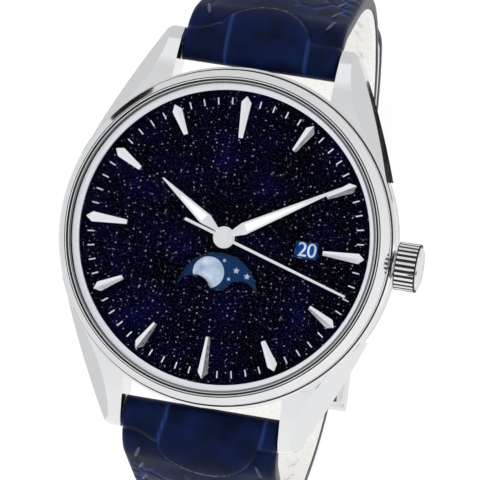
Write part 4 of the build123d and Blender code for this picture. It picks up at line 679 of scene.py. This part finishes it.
class WATCH_OT_stage(bpy.types.Operator):
    """Camera, pale floor, soft boxes and the room's light"""

    bl_idname = "watch.stage"
    bl_label = "Stage"

    def execute(self, context):
        settings = context.scene.watch_stage
        camera_data = bpy.data.cameras.new("photo_camera")
        camera_data.lens = settings.lens
        camera_data.sensor_width = 36
        camera_data.clip_start, camera_data.clip_end = 0.01, 10
        camera = bpy.data.objects.new("photo_camera", camera_data)
        camera.location = settings.camera_place
        camera.rotation_euler = settings.camera_turn
        context.scene.collection.objects.link(camera)
        context.scene.camera = camera
        context.scene.view_settings.view_transform = "Standard"
        self.floor(context, settings)
        self.room(context, settings)
        self.lights(context)
        return {"FINISHED"}

    def floor(self, context, settings):
        """White paper that keeps the watch's shadow; in a mirror it brightens to the lower right."""
        finish, tree, output = new_finish("paper_sweep_white")
        paper = add_node(tree, "ShaderNodeBsdfDiffuse", Color=hex_colour("#f4f4f4"))
        glow = add_node(tree, "ShaderNodeEmission", Color=settings.backdrop, Strength=FLOOR_GLOW)
        coords = add_node(tree, "ShaderNodeTexCoord")
        lean = add_node(
            tree, "ShaderNodeVectorMath", {0: coords.outputs["Object"]},
            operation="DOT_PRODUCT", _1=(0.6, -0.6, 0.0),
        )
        level = add_node(
            tree, "ShaderNodeMapRange", {"Value": lean.outputs["Value"]},
            From_Min=-0.12, From_Max=0.18,
            To_Min=settings.mirrored_floor - FLOOR_DARKER, To_Max=settings.mirrored_floor + FLOOR_BRIGHTER,
        )
        mirrored = add_node(tree, "ShaderNodeEmission", {"Strength": level.outputs["Result"]})
        rays = add_node(tree, "ShaderNodeLightPath")
        share = add_node(
            tree, "ShaderNodeMath", {0: rays.outputs["Is Camera Ray"]},
            operation="MULTIPLY", _1=FLOOR_GLOW_SHARE,
        )
        plain = add_node(
            tree, "ShaderNodeMixShader",
            {"Fac": share.outputs["Value"], 1: paper.outputs["BSDF"], 2: glow.outputs["Emission"]},
        )
        mix = add_node(
            tree, "ShaderNodeMixShader",
            {"Fac": rays.outputs["Is Glossy Ray"], 1: plain.outputs[0], 2: mirrored.outputs["Emission"]},
        )
        tree.links.new(mix.outputs["Shader"], output.inputs["Surface"])
        bm = bmesh.new()
        bmesh.ops.create_grid(bm, x_segments=2, y_segments=2, size=FLOOR_HALF)
        bmesh.ops.translate(bm, verts=bm.verts, vec=(0, 0, CAD_BOX[0].z - FLOOR_GAP))
        self.stage_piece(context, bm, "paper_floor", finish)

    def room(self, context, settings):
        """White surroundings; mirrors see them greyer, with a pale band 25 to 45 degrees up."""
        world = bpy.data.worlds.new("white_room")
        context.scene.world = world
        world.use_nodes = True
        tree = world.node_tree
        tree.nodes.clear()
        output = tree.nodes.new("ShaderNodeOutputWorld")
        rays = add_node(tree, "ShaderNodeLightPath")
        lit = add_node(
            tree, "ShaderNodeBackground", Color=hex_colour("#ffffff"), Strength=settings.room_light
        )
        white = add_node(tree, "ShaderNodeBackground", Color=settings.backdrop, Strength=1.0)
        coords = add_node(tree, "ShaderNodeTexCoord")
        towards = add_node(tree, "ShaderNodeSeparateXYZ", {"Vector": coords.outputs["Generated"]})
        slant = add_node(
            tree, "ShaderNodeMapRange", {"Value": towards.outputs["Y"]}, From_Min=-1.0,
            To_Min=settings.mirrored_room + ROOM_SLANT, To_Max=settings.mirrored_room - ROOM_SLANT,
        )
        above = add_node(
            tree, "ShaderNodeMapRange", {"Value": towards.outputs["Z"]}, From_Min=0.36, From_Max=0.48
        )
        below = add_node(
            tree, "ShaderNodeMapRange", {"Value": towards.outputs["Z"]}, From_Min=0.78, From_Max=0.7
        )
        band = add_node(
            tree, "ShaderNodeMath", {0: above.outputs["Result"], 1: below.outputs["Result"]},
            operation="MULTIPLY",
        )
        level = add_node(
            tree, "ShaderNodeMix", {"Factor": band.outputs["Value"], "A": slant.outputs["Result"]},
            B=BAND_LEVEL,
        )
        mirrored = add_node(
            tree, "ShaderNodeBackground", {"Strength": level.outputs["Result"]}, Color=hex_colour("#ffffff")
        )
        seen = add_node(
            tree, "ShaderNodeMixShader",
            {"Fac": rays.outputs["Is Camera Ray"], 1: lit.outputs[0], 2: white.outputs[0]},
        )
        mix = add_node(
            tree, "ShaderNodeMixShader",
            {"Fac": rays.outputs["Is Glossy Ray"], 1: seen.outputs[0], 2: mirrored.outputs[0]},
        )
        tree.links.new(mix.outputs["Shader"], output.inputs["Surface"])

    def lights(self, context):
        """The soft boxes, and the cards that only mirrors see."""
        for name, place, side, watts in SOFT_BOXES:
            lamp = bpy.data.lights.new(name, "AREA")
            lamp.shape = "SQUARE"
            lamp.size = side
            lamp.energy = watts
            box = bpy.data.objects.new(name, lamp)
            box.visible_glossy = False
            box.location = place
            box.rotation_euler = (-Vector(place)).to_track_quat("-Z", "Y").to_euler()
            context.scene.collection.objects.link(box)
        for name, place, radius, shade in FACING_CARDS:
            turn = (-Vector(place)).to_track_quat("Z", "Y").to_matrix().to_4x4()
            self.card(context, name, place, turn, (radius, radius), shade)
        for name, place, half, heading, shade in LEVEL_CARDS:
            self.card(context, name, place, Matrix.Rotation(radians(heading), 4, "Z"), half, shade)

    def card(self, context, name, place, turn, half, shade):
        """A round or long card that glows in mirrors and is seen by nothing else."""
        finish, tree, output = new_finish(name)
        face = add_node(tree, "ShaderNodeEmission", Color=hex_colour(shade))
        tree.links.new(face.outputs["Emission"], output.inputs["Surface"])
        bm = bmesh.new()
        bmesh.ops.create_circle(bm, cap_ends=True, segments=48, radius=1)
        matrix = Matrix.Translation(place) @ turn @ Matrix.Diagonal((*half, 1, 1))
        bmesh.ops.transform(bm, verts=bm.verts, matrix=matrix)
        card = self.stage_piece(context, bm, name, finish)
        card.visible_shadow = False
        card.visible_diffuse = False
        card.visible_camera = False

    def stage_piece(self, context, bm, name, finish):
        """Puts a mesh drawn in metres into the scene as part of the stage."""
        mesh = bpy.data.meshes.new(name)
        bm.to_mesh(mesh)
        bm.free()
        mesh.materials.append(finish)
        piece = bpy.data.objects.new(name, mesh)
        context.scene.collection.objects.link(piece)
        return piece


# Case


class WATCH_OT_case(bpy.types.Operator):
    """Mid-case with its lugs, bezel, inner flange and the screwed back"""

    bl_idname = "watch.case"
    bl_label = "Case"

    def execute(self, context):
        settings = context.scene.watch_case
        edge = settings.edge_break / MM
        steel = [FINISHES["steel"]]
        band = cad_copy("mid_case")
        self.round_flanks(band)
        soften(band, edge, 28)
        piece_from(band, "case_band", steel, "case", ["mid_case"], flat=True)
        bezel = turned(BEZEL_OUTLINE, settings.spin_steps)
        soften(bezel, 0.05, 12)
        piece_from(bezel, "bezel_ring", steel, "case", ["bezel"], flat=True)
        flange = turned(FLANGE_OUTLINE, settings.spin_steps)
        soften(flange, 0.02, 30)
        silver = [FINISHES["flange"]]
        piece_from(flange, "inner_flange", silver, "case", ["rehaut_ring"], flat=True)
        # Two black rings paint the shade in the bezel's step and under its foot, where the real case has
        # only narrow gaps
        for name, outline in (("painted_shade_step_groove", STEP_GROOVE_SHADE_OUTLINE), ("painted_shade_bezel_foot", BEZEL_FOOT_SHADE_OUTLINE)):
            shade_ring = turned(outline, settings.spin_steps)
            piece_from(shade_ring, name, [FINISHES["gasket"]], "case")
        back = cad_copy("case_back")
        soften(back, edge, 28)
        piece_from(back, "screwed_back", steel, "case", ["case_back"], flat=True)
        finish_node(FINISHES["gasket"], "back_gasket", "crown_gasket")
        return {"FINISHED"}

    def round_flanks(self, band):
        """Rolls each lug's facet over into its flank, which then mirrors a dark line."""
        rolled = []
        for edge in band.edges:
            if len(edge.link_faces) != 2 or max(abs(v.co.y) for v in edge.verts) < LUG_START:
                continue
            flank, facet = sorted(abs(face.normal.z) for face in edge.link_faces)
            outward = min(face.normal.x * edge.verts[0].co.x for face in edge.link_faces) > 0
            upper = min(v.co.z for v in edge.verts) > LUG_UNDERSIDE
            if flank < 0.15 and 0.4 < facet < 0.85 and outward and upper:
                rolled.append(edge)
        bevel(band, rolled, FLANK_ROLL, 1)


class WATCH_OT_crystals(bpy.types.Operator):
    """Sapphire over the dial with its gasket, and the window in the back"""

    bl_idname = "watch.crystals"
    bl_label = "Crystals"

    def execute(self, context):
        steps = context.scene.watch_case.spin_steps
        shares = [k / DOME_STEPS for k in range(DOME_STEPS, -1, -1)]
        dome = [(DOME_RADIUS * share, DOME_FOOT + DOME_RISE * (1 - share**2)) for share in shares]
        wall = [(0, CRYSTAL_UNDERSIDE), (CRYSTAL_RADIUS, CRYSTAL_UNDERSIDE), (CRYSTAL_RADIUS, BEVEL_FOOT)]
        glass = turned(wall + dome, steps)
        for face in glass.faces:
            sloped = 0.3 < face.normal.z < 0.95 and face.calc_center_median().z > BEVEL_FOOT
            face.material_index = int(sloped)
        finishes = [FINISHES["sapphire"], FINISHES["bevel"]]
        piece_from(glass, "crystal_dome", finishes, "case", ["crystal"], 12)
        # The crystal's gasket is black, which also paints the shade line round the crystal's edge
        shade_ring = turned(CRYSTAL_SEAL_OUTLINE, steps)
        piece_from(shade_ring, "crystal_seal", [FINISHES["gasket"]], "case", ["crystal_gasket"])
        ring = turned(TENSION_RING_OUTLINE, steps)
        piece_from(ring, "tension_ring", [FINISHES["steel"]], "case")
        window = turned(BACK_WINDOW_OUTLINE, steps)
        piece_from(window, "back_window", [FINISHES["back_glass"]], "case", ["back_crystal"])
        return {"FINISHED"}


class WATCH_OT_crown(bpy.types.Operator):
    """Fluted crown, its tube, stem and the keyless work behind it"""

    bl_idname = "watch.crown"
    bl_label = "Crown"

    def execute(self, context):
        crown = cad_copy("crown")
        soften(crown, 0.05, 28)
        piece_from(crown, "fluted_crown", [FINISHES["steel"]], "crown", ["crown"])
        # A black core inside the flutes paints the shade at their floor, so the flutes read dark
        groove_shade = turned(CROWN_GROOVE_SHADE_OUTLINE, 96)
        turn = Matrix.Translation((0, 0, CROWN_AXIS_HEIGHT)) @ Matrix.Rotation(pi / 2, 4, "Y")
        bmesh.ops.transform(groove_shade, verts=groove_shade.verts, matrix=turn)
        piece_from(groove_shade, "crown_groove_shade", [FINISHES["gasket"]], "crown")
        finish_node(FINISHES["steel"], "crown_tube")
        finish_node(FINISHES["lapped"], "winding_stem", "clutch_wheel", "winding_pinion")
        return {"FINISHED"}


# Dial and hands


class WATCH_OT_dial(bpy.types.Operator):
    """Aventurine dial, applied markers and printed minute marks"""

    bl_idname = "watch.dial"
    bl_label = "Dial"

    def execute(self, context):
        finish_node(FINISHES["dial"], "dial")
        markers = cad_copy("hour_markers")
        soften(markers, 0.03, 20, 1)
        rhodium = [FINISHES["rhodium"]]
        piece_from(markers, "applied_markers", rhodium, "case", ["hour_markers"], 20)
        finish_node(FINISHES["marks"], "minute_marks")
        return {"FINISHED"}


class WATCH_OT_hands(bpy.types.Operator):
    """Faceted hour and minute hands with lume, and the seconds hand with its boss"""

    bl_idname = "watch.hands"
    bl_label = "Hands"

    def execute(self, context):
        rhodium = [FINISHES["rhodium"]]
        for node, name, body in (
            ("hour_hand", "hour_blade", "hour"),
            ("minute_hand", "minute_blade", "minute"),
        ):
            blade = cad_copy(node)
            soften(blade, 0.02, 8, 1)
            piece_from(blade, name, rhodium, body, [node], 20)
        needle = cad_copy("seconds_hand")
        soften(needle, 0.02, 28, 1)
        piece_from(needle, "seconds_needle", rhodium, "seconds", ["seconds_hand"])
        pin = turned(SECONDS_PIN_OUTLINE, 48)
        piece_from(pin, "seconds_pin", rhodium, "seconds")
        finish_node(FINISHES["lume"], "hour_hand_lume", "minute_hand_lume")
        return {"FINISHED"}


class WATCH_OT_calendar(bpy.types.Operator):
    """Date ring with its numbers, moon disc with two moons and stars, and the wheels under the dial"""

    bl_idname = "watch.calendar"
    bl_label = "Calendar"

    def execute(self, context):
        finish_node(FINISHES["date"], "date_ring")
        finish_node(FINISHES["moon_sky"], "moon_disc")
        finish_node(FINISHES["moon"], "moon_figures")
        finish_node(
            FINISHES["gilt"],
            "minute_wheel", "hour_wheel", "calendar_idler", "date_drive_wheel", "moon_drive_wheel",
        )
        finish_node(FINISHES["lapped"], "cannon_pinion")
        numbers = bmesh.new()
        for day in range(1, DAYS + 1):
            self.print_day(numbers, day, (SHOWN_DAY - day) * 360 / DAYS)
        piece_from(numbers, "date_numbers", [FINISHES["digits"]], "date")
        return {"FINISHED"}

    def print_day(self, numbers, day, turn):
        """One number on the ring, upright where it comes to the window."""
        curve = bpy.data.curves.new("day", "FONT")
        curve.body = str(day)
        curve.align_x, curve.align_y = "CENTER", "CENTER"
        curve.size = 2.5
        curve.extrude = 0.006
        curve.offset = 0.012
        curve.space_character = 0.94
        text = bpy.data.objects.new("day", curve)
        bpy.context.scene.collection.objects.link(text)
        bpy.context.view_layer.update()
        mesh = bpy.data.meshes.new_from_object(text)
        place = Matrix.Rotation(radians(turn), 4, "Z") @ Matrix.Translation((DATE_RADIUS, 0, DATE_HEIGHT))
        mesh.transform(place)
        numbers.from_mesh(mesh)
        bpy.data.meshes.remove(mesh)
        bpy.data.objects.remove(text)
        bpy.data.curves.remove(curve)


# Movement


class WATCH_OT_movement(bpy.types.Operator):
    """Finishes of the plates, wheels, springs, screws, jewels and the winding rotor"""

    bl_idname = "watch.movement"
    bl_label = "Movement"

    def execute(self, context):
        for node, name, body, finish, slot in (
            ("train_bridge", "striped_bridge", "case", "striped", "rhodium_brass"),
            ("balance_cock", "striped_cock", "case", "striped", "rhodium_brass"),
            ("rotor", "striped_rotor", "rotor", "gilt", "gilt_brass"),
        ):
            plate = cad_copy(node)
            soften(plate, 0.06, 28, 1)
            piece_from(plate, name, [FINISHES[finish]], body, [node])
        for finish, nodes in (
            ("spotted", ("main_plate", "pallet_bridge")),
            ("lapped", ("movement_holder", "mainspring", "barrel_arbor", "escape_wheel", "pallet_fork")),
            ("lapped", ("ratchet_wheel", "crown_wheel", "rotor_bearing")),
            ("blued", ("bridge_screws", "hairspring")),
            ("ruby", ("jewel_bearings",)),
            ("gilt", ("mainspring_barrel", "centre_wheel", "third_wheel", "fourth_wheel", "balance_wheel")),
        ):
            finish_node(FINISHES[finish], *nodes)
        return {"FINISHED"}


# Strap


class StrapPath:
    """The middle line of a strap half, with its length, place and outward direction."""

    def __init__(self, side, corner, straight, rise):
        self.side = side
        self.lower = side < 0
        self.runs = [("arc", 5.0, 67.0), ("run", 8.0), ("arc", 30.0, 23.0), ("arc", corner, 90.0)]
        self.runs.append(("run", straight))
        if rise:
            self.runs.append(("arc", corner, rise))
        self.length = sum(r[1] if r[0] == "run" else r[1] * radians(r[2]) for r in self.runs)

    def at(self, along):
        """Place in the side plane (away from the middle, height) and the outward direction."""
        place = Vector((SPRING_BAR_REACH, SPRING_BAR_HEIGHT))
        turn = 0.0
        left = along
        if left < 0:
            return place + Vector((left, 0)), Vector((0, 1))
        for run in self.runs:
            if run[0] == "run":
                step = min(left, run[1])
                place = place + Vector((cos(turn), -sin(turn))) * step
            else:
                step = min(left, run[1] * radians(run[2]))
                hub = place - Vector((sin(turn), cos(turn))) * run[1]
                turn += step / run[1]
                place = hub + Vector((sin(turn), cos(turn))) * run[1]
            left -= step
            if left <= 0:
                break
        if left > 0:
            place = place + Vector((cos(turn), -sin(turn))) * left
        return place, Vector((sin(turn), cos(turn)))

    def point(self, across, along, offset):
        """A point of the strap, offset outwards from its middle line."""
        place, outward = self.at(along)
        spot = place + outward * offset
        return Vector((across, self.side * spot.x, spot.y))


def ease(value):
    """Goes smoothly from 0 to 1."""
    value = min(max(value, 0.0), 1.0)
    return value * value * (3 - 2 * value)


def groove(distance, width):
    """1 in the middle of a soft groove, and hardly anything at twice its width."""
    return exp(-((distance / width) ** 2))


# Lane across the half width, pitch along it in millimetres, and the share of a pitch it starts at
SCALE_LANES = (
    (0.0, 7.4, 0.0),
    (0.46, 4.9, 0.35),
    (-0.46, 4.9, 0.8),
    (0.74, 3.1, 0.2),
    (-0.74, 3.1, 0.6),
    (0.95, 2.2, 0.5),
    (-0.95, 2.2, 0.1),
)


class Scales:
    """The pressed scale pattern: broad plates down the middle, small ones along the edges."""

    def __init__(self, length, half, seed):
        noise.seed_set(seed)
        self.tree = kdtree.KDTree(4000)
        count = 0
        for lane, pitch, offset in SCALE_LANES:
            along = SCALES_START - pitch + offset * pitch
            while along < length + pitch:
                sway = noise.random_vector() * (0.16 * pitch)
                self.tree.insert(Vector((lane * half + sway.x, along + sway.y, 0)), count)
                count += 1
                along += pitch
        self.tree.balance()

    def crease(self, across, along):
        """1 in the middle of a crease and 0 on a plate."""
        near = self.tree.find_n(Vector((across, along, 0)), 2)
        return groove(near[1][2] - near[0][2], 0.3)


class WATCH_OT_strap(bpy.types.Operator):
    """Both strap halves with their padded ends, scales, stitching, holes and painted edges"""

    bl_idname = "watch.strap"
    bl_label = "Strap"

    def execute(self, context):
        settings = context.scene.watch_strap
        self.lug_half = settings.lug_width / MM / 2
        self.buckle_half = settings.buckle_width / MM / 2
        self.half_thickness = settings.thickness / MM / 2
        self.depth = settings.crease_depth / MM
        self.pitch = settings.stitch_pitch / MM
        short = StrapPath(1, SHORT_CORNER, CORNER_START + BUCKLE_BAR, 0)
        long = StrapPath(-1, LONG_CORNER, LONG_CORNER_START + CORNER_START, TAIL_RISE)
        self.half_strap(short, "strap_12", "strap_short", 11)
        self.half_strap(long, "strap_6", "strap_long", 29)
        return {"FINISHED"}

    def half_width(self, path, along):
        """Half the strap's width, narrowing down to the buckle and rounded at the tail."""
        height = path.at(along)[0].y
        share = min(max((SPRING_BAR_HEIGHT - height) / NARROWING_HEIGHT, 0.0), 1.0)
        half = self.lug_half + (self.buckle_half - self.lug_half) * share
        over = along - (path.length - TAIL_RADIUS)
        if path.lower and over > 0:
            half = half - TAIL_RADIUS + sqrt(max(TAIL_RADIUS**2 - over**2, 0.0))
        return half

    def hump_edge(self, across, lower):
        """How far the raised end piece reaches at a place across the strap."""
        middle, reach, least, rise, power = (1.2, 6.3, 1.6, 4.5, 0.7) if lower else (0.3, 5.6, 1.7, 3.9, 0.8)
        share = 1 - ((across - middle) / reach) ** 2
        shoulder = 0.9 * groove(across - middle + reach, 1.8)
        return least + shoulder + (rise * share**power if share > 0 else 0.0)

    def surface(self, path, across, along, half, scales):
        """Height of the upper face over the middle line, and how creased it is there."""
        swell = 0.2 + 0.55 * ease((along - 5) / 6)
        crown = swell * (1 - abs(across / half) ** 2.6) * (1 - ease((along - 12) / 24))
        plain = self.half_thickness + crown
        hump = self.hump_edge(across, path.lower)
        inside = ease((hump - along) / 0.9 + 0.5)
        seams = (-4.4 - 0.25 * along, 8.1 - 0.2 * along) if path.lower else (-4.3, 5.8)
        seam = max(groove(across - place, 0.16) for place in seams) if along < hump + 0.6 else 0.0
        top = 1.9 + 0.25 * (1 - abs(across / half) ** 4) * ease((along + 1) / 4)
        drop = groove(along - hump - 0.5, 0.22)
        crease = seam * inside
        if along > hump + 1.0:
            start_fade = ease((along - 8.0) / 1.5)
            edge_fade = ease((half - abs(across)) / 0.6)
            crease = max(crease, scales.crease(across, along) * start_fade * edge_fade * 0.9)
        ditch = 0.12 * groove(abs(across) - (half - STITCH_INSET), 0.35) if along > 5.5 else 0.0
        height = plain + (top - plain) * inside - 0.2 * drop - crease * self.depth - ditch
        return height, min(1.0, crease * 0.85 + 0.35 * drop * inside)

    def grid_columns(self):
        """Share of the half width and layer of each column round the strap, and how many are on top."""
        steps = [i / 34 for i in range(-34, 35)]
        top = [((abs(s) ** 0.85) * (1 if s > 0 else -1), 0) for s in steps]
        right = [(1.0, layer) for layer in (1, 2, 3)]
        under = [(s, 4) for s in (1.0, 0.92, 0.75, 0.5, 0.25, 0, -0.25, -0.5, -0.75, -0.92, -1.0)]
        left = [(-1.0, layer) for layer in (3, 2, 1)]
        return top + right + under + left + top[:1], len(top)

    def grid_rows(self, path):
        """Places along the path, closer together where the ends are rounded."""
        end = path.length
        rows = [-NOSE_RADIUS * cos(radians(a)) for a in range(0, 90, 9)]
        rows += [0.3 * i for i in range(int((end - 0.4) / 0.3))]
        if path.lower:
            rows = [r for r in rows if r < end - 1.0]
            return rows + [end - 1.0 * (1 - k / 8) for k in range(8)] + [end - 0.02, end]
        rows = [r for r in rows if r < end - 0.2]
        return rows + [end + EYE_REACH * sin(radians(a)) for a in range(0, 91, 9)]

    def skin(self, path, share, layer, along, scales):
        """Place and crease of a point of the skin, from layer 0 on top to layer 4 of the lining."""
        end = path.length
        half = self.half_width(path, max(along, 0))
        across = share * half
        top, crease = self.surface(path, across, max(along, 0.0), half, scales)
        bottom = -self.half_thickness - 0.8 * (1 - ease(along / 2.5))
        if along < 0:
            swell = sqrt(max(1 - (along / NOSE_RADIUS) ** 2, 0.0))
            top, bottom = top * swell, bottom * swell
        if not path.lower and along > end - 4:
            roll = ease((along - end + 4) / 4)
            reach = sqrt(max(1 - (max(along - end, 0) / EYE_REACH) ** 2, 0.0))
            top = (top + (EYE_RADIUS - top) * roll) * reach
            bottom = (bottom + (-EYE_RADIUS - bottom) * roll) * reach
        if path.lower and along == end:
            top, bottom = 0.5, -0.5
        rounding = 0.45 * max(0.0, (abs(share) - 0.94) / 0.06) ** 2
        upper, under = top - rounding, bottom + rounding * 0.6
        bulge = 0.12 if layer in (1, 2, 3) else 0.0
        across += bulge * (1 if share > 0 else -1)
        offset = upper + (under - upper) * layer / 4
        return path.point(across, along, offset), crease if layer == 0 else 0.0

    def half_strap(self, path, name, node, seed):
        """One half: a grid bent round its path and closed into a body, then pierced and sewn."""
        columns, top_count = self.grid_columns()
        rows = self.grid_rows(path)
        scales = Scales(path.length, self.lug_half, seed)
        bm = bmesh.new()
        crease_layer = bm.verts.layers.float.new("crease")
        per_row = len(columns) - 1
        bmesh.ops.create_grid(bm, x_segments=per_row, y_segments=len(rows) - 1, size=1)
        for vert in bm.verts:
            share, layer = columns[round((vert.co.x + 1) / 2 * per_row)]
            along = rows[round((vert.co.y + 1) / 2 * (len(rows) - 1))]
            vert.co, vert[crease_layer] = self.skin(path, share, layer, along, scales)
        bm.normal_update()
        for index, face in enumerate(bm.faces):
            past_top = index % per_row - top_count
            if past_top >= -1:
                face.material_index = 1 if 3 <= past_top < 13 else 2
        bmesh.ops.remove_doubles(bm, verts=bm.verts, dist=1e-4)
        bmesh.ops.holes_fill(bm, edges=[e for e in bm.edges if e.is_boundary], sides=0)
        finishes = [FINISHES["leather"], FINISHES["lining"], FINISHES["edge"]]
        piece = piece_from(bm, name, finishes, "case", [node], 60, True)
        self.cut_openings(piece, path.lower)
        self.sew(path, name, scales)

    def cut_openings(self, piece, lower):
        """Cuts the tang's slot, and the row of holes through the long half."""
        cutter = bmesh.new()
        if lower:
            self.punch_slot(cutter, (0, LAST_HOLE, -44.1), (2.4, 4.0, 6.0))
            for step in range(1, 7):
                along = LAST_HOLE + HOLE_PITCH * step
                turn = max(along - CORNER_START, 0) / LONG_CORNER
                hub = Vector((0, min(along, CORNER_START), LONG_HUB_HEIGHT))
                radial = Vector((0, sin(turn), -cos(turn)))
                upright = radial.to_track_quat("Z", "X").to_matrix().to_4x4()
                bmesh.ops.create_cone(
                    cutter, cap_ends=True, segments=20, radius1=HOLE_RADIUS, radius2=HOLE_RADIUS, depth=5.0,
                    matrix=Matrix.Translation(hub + radial * LONG_CORNER) @ upright,
                )
        else:
            self.punch_slot(cutter, (0, -BUCKLE_BAR, -41.53), (2.4, 3.4, 8.0))
        bmesh.ops.scale(cutter, vec=(MM, MM, MM), verts=cutter.verts)
        mesh = bpy.data.meshes.new("punch")
        cutter.to_mesh(mesh)
        cutter.free()
        punch = bpy.data.objects.new("punch", mesh)
        bpy.context.scene.collection.objects.link(punch)
        cut = piece.modifiers.new("punch", "BOOLEAN")
        cut.object = punch
        cut.operation = "DIFFERENCE"
        cut.solver = "EXACT"
        bpy.context.view_layer.update()
        shape = bpy.data.meshes.new_from_object(piece.evaluated_get(bpy.context.evaluated_depsgraph_get()))
        piece.modifiers.clear()
        uncut = piece.data
        piece.data = shape
        bpy.data.meshes.remove(uncut)
        bpy.data.objects.remove(punch)
        bpy.data.meshes.remove(mesh)

    def punch_slot(self, cutter, place, size):
        """A block that cuts a slot."""
        made = bmesh.ops.create_cube(cutter, size=1)
        bmesh.ops.scale(cutter, vec=size, verts=made["verts"])
        bmesh.ops.translate(cutter, vec=place, verts=made["verts"])

    def sew(self, path, name, scales):
        """Saddle stitches along both edges, on the upper face and the lining."""
        upper, under = bmesh.new(), bmesh.new()
        last = path.length - (7.5 if path.lower else 5.0)
        for side in (-1, 1):
            along = STITCH_START
            while along < last:
                half = self.half_width(path, along)
                across = side * (half - STITCH_INSET)
                top = self.surface(path, across, along, half, scales)[0]
                self.stitch(upper, path, across, along, top + 0.02, side)
                self.stitch(under, path, across, along, -self.half_thickness - 0.02, side)
                along += self.pitch
        piece_from(upper, name + "_stitches", [FINISHES["thread"]], "case", smooth=60)
        piece_from(under, name + "_lining_stitches", [FINISHES["bobbin"]], "case", smooth=60)

    def stitch(self, bm, path, across, along, offset, side):
        """One stitch: a grain of thread that leans a little to the strap's edge."""
        place = path.point(across, along, offset)
        ahead = path.point(across + side * 0.18, along + 0.5, offset)
        outward = (path.point(across, along, offset + 1) - place).normalized()
        heading = (ahead - place).normalized()
        sideways = heading.cross(outward).normalized()
        turn = Matrix((heading, sideways, outward)).transposed().to_4x4()
        verts = bmesh.ops.create_uvsphere(bm, u_segments=8, v_segments=6, radius=1)["verts"]
        bmesh.ops.rotate(bm, verts=verts, cent=(0, 0, 0), matrix=Matrix.Rotation(pi / 2, 3, "Y"))
        bmesh.ops.scale(bm, verts=verts, vec=(1.3, 0.22, 0.17))
        bmesh.ops.transform(bm, verts=verts, matrix=Matrix.Translation(place) @ turn)


class WATCH_OT_keepers(bpy.types.Operator):
    """The fixed and the free leather loop"""

    bl_idname = "watch.keepers"
    bl_label = "Keepers"

    def execute(self, context):
        for node, name, body in (
            ("fixed_keeper", "keeper_fixed", "case"),
            ("free_keeper", "keeper_free", "keeper"),
        ):
            loop = cad_copy(node)
            soften(loop, 0.28, 40, 4)
            loop.verts.layers.float.new("crease")
            piece_from(loop, name, [FINISHES["leather"]], body, [node], 50)
        return {"FINISHED"}


class WATCH_OT_buckle(bpy.types.Operator):
    """Buckle frame, tang and the spring bars"""

    bl_idname = "watch.buckle"
    bl_label = "Buckle"

    def execute(self, context):
        for node, name, body in (
            ("buckle_frame", "buckle_bow", "case"),
            ("buckle_tang", "buckle_tongue", "tang"),
        ):
            metal = cad_copy(node)
            soften(metal, 0.12, 28, 3)
            piece_from(metal, name, [FINISHES["steel"]], body, [node], 40)
        finish_node(FINISHES["lapped"], "lug_spring_bars", "buckle_spring_bar")
        return {"FINISHED"}


# Panel and registration


class WATCH_PT_pieces(bpy.types.Panel):
    """The watch's pieces, in the order in which they are made, and its settings"""

    bl_label = "Moon phase watch"
    bl_idname = "WATCH_PT_pieces"
    bl_space_type = "VIEW_3D"
    bl_region_type = "UI"
    bl_category = "Watch"

    def draw(self, context):
        for operator in OPERATORS:
            self.layout.operator(operator.bl_idname)
        for group in GROUPS:
            settings = getattr(context.scene, group)
            for name in settings.__annotations__:
                self.layout.prop(settings, name)


GROUPS = {
    "watch_stage": StageSettings,
    "watch_colours": ColourSettings,
    "watch_case": CaseSettings,
    "watch_strap": StrapSettings,
}
OPERATORS = (
    WATCH_OT_stage,
    WATCH_OT_case,
    WATCH_OT_crystals,
    WATCH_OT_crown,
    WATCH_OT_dial,
    WATCH_OT_hands,
    WATCH_OT_calendar,
    WATCH_OT_movement,
    WATCH_OT_strap,
    WATCH_OT_keepers,
    WATCH_OT_buckle,
)


def register():
    for cls in (*GROUPS.values(), *OPERATORS, WATCH_PT_pieces):
        bpy.utils.register_class(cls)
    for name, group in GROUPS.items():
        setattr(bpy.types.Scene, name, bpy.props.PointerProperty(type=group))


def unregister():
    for name in GROUPS:
        delattr(bpy.types.Scene, name)
    for cls in reversed((*GROUPS.values(), *OPERATORS, WATCH_PT_pieces)):
        bpy.utils.unregister_class(cls)


def main():
    """Makes the finishes and every piece."""
    register()
    make_finishes(bpy.context.scene.watch_colours)
    bpy.ops.watch.stage()
    bpy.ops.watch.case()
    bpy.ops.watch.crystals()
    bpy.ops.watch.crown()
    bpy.ops.watch.dial()
    bpy.ops.watch.hands()
    bpy.ops.watch.calendar()
    bpy.ops.watch.movement()
    bpy.ops.watch.strap()
    bpy.ops.watch.keepers()
    bpy.ops.watch.buckle()


if __name__ == "__main__":
    main()
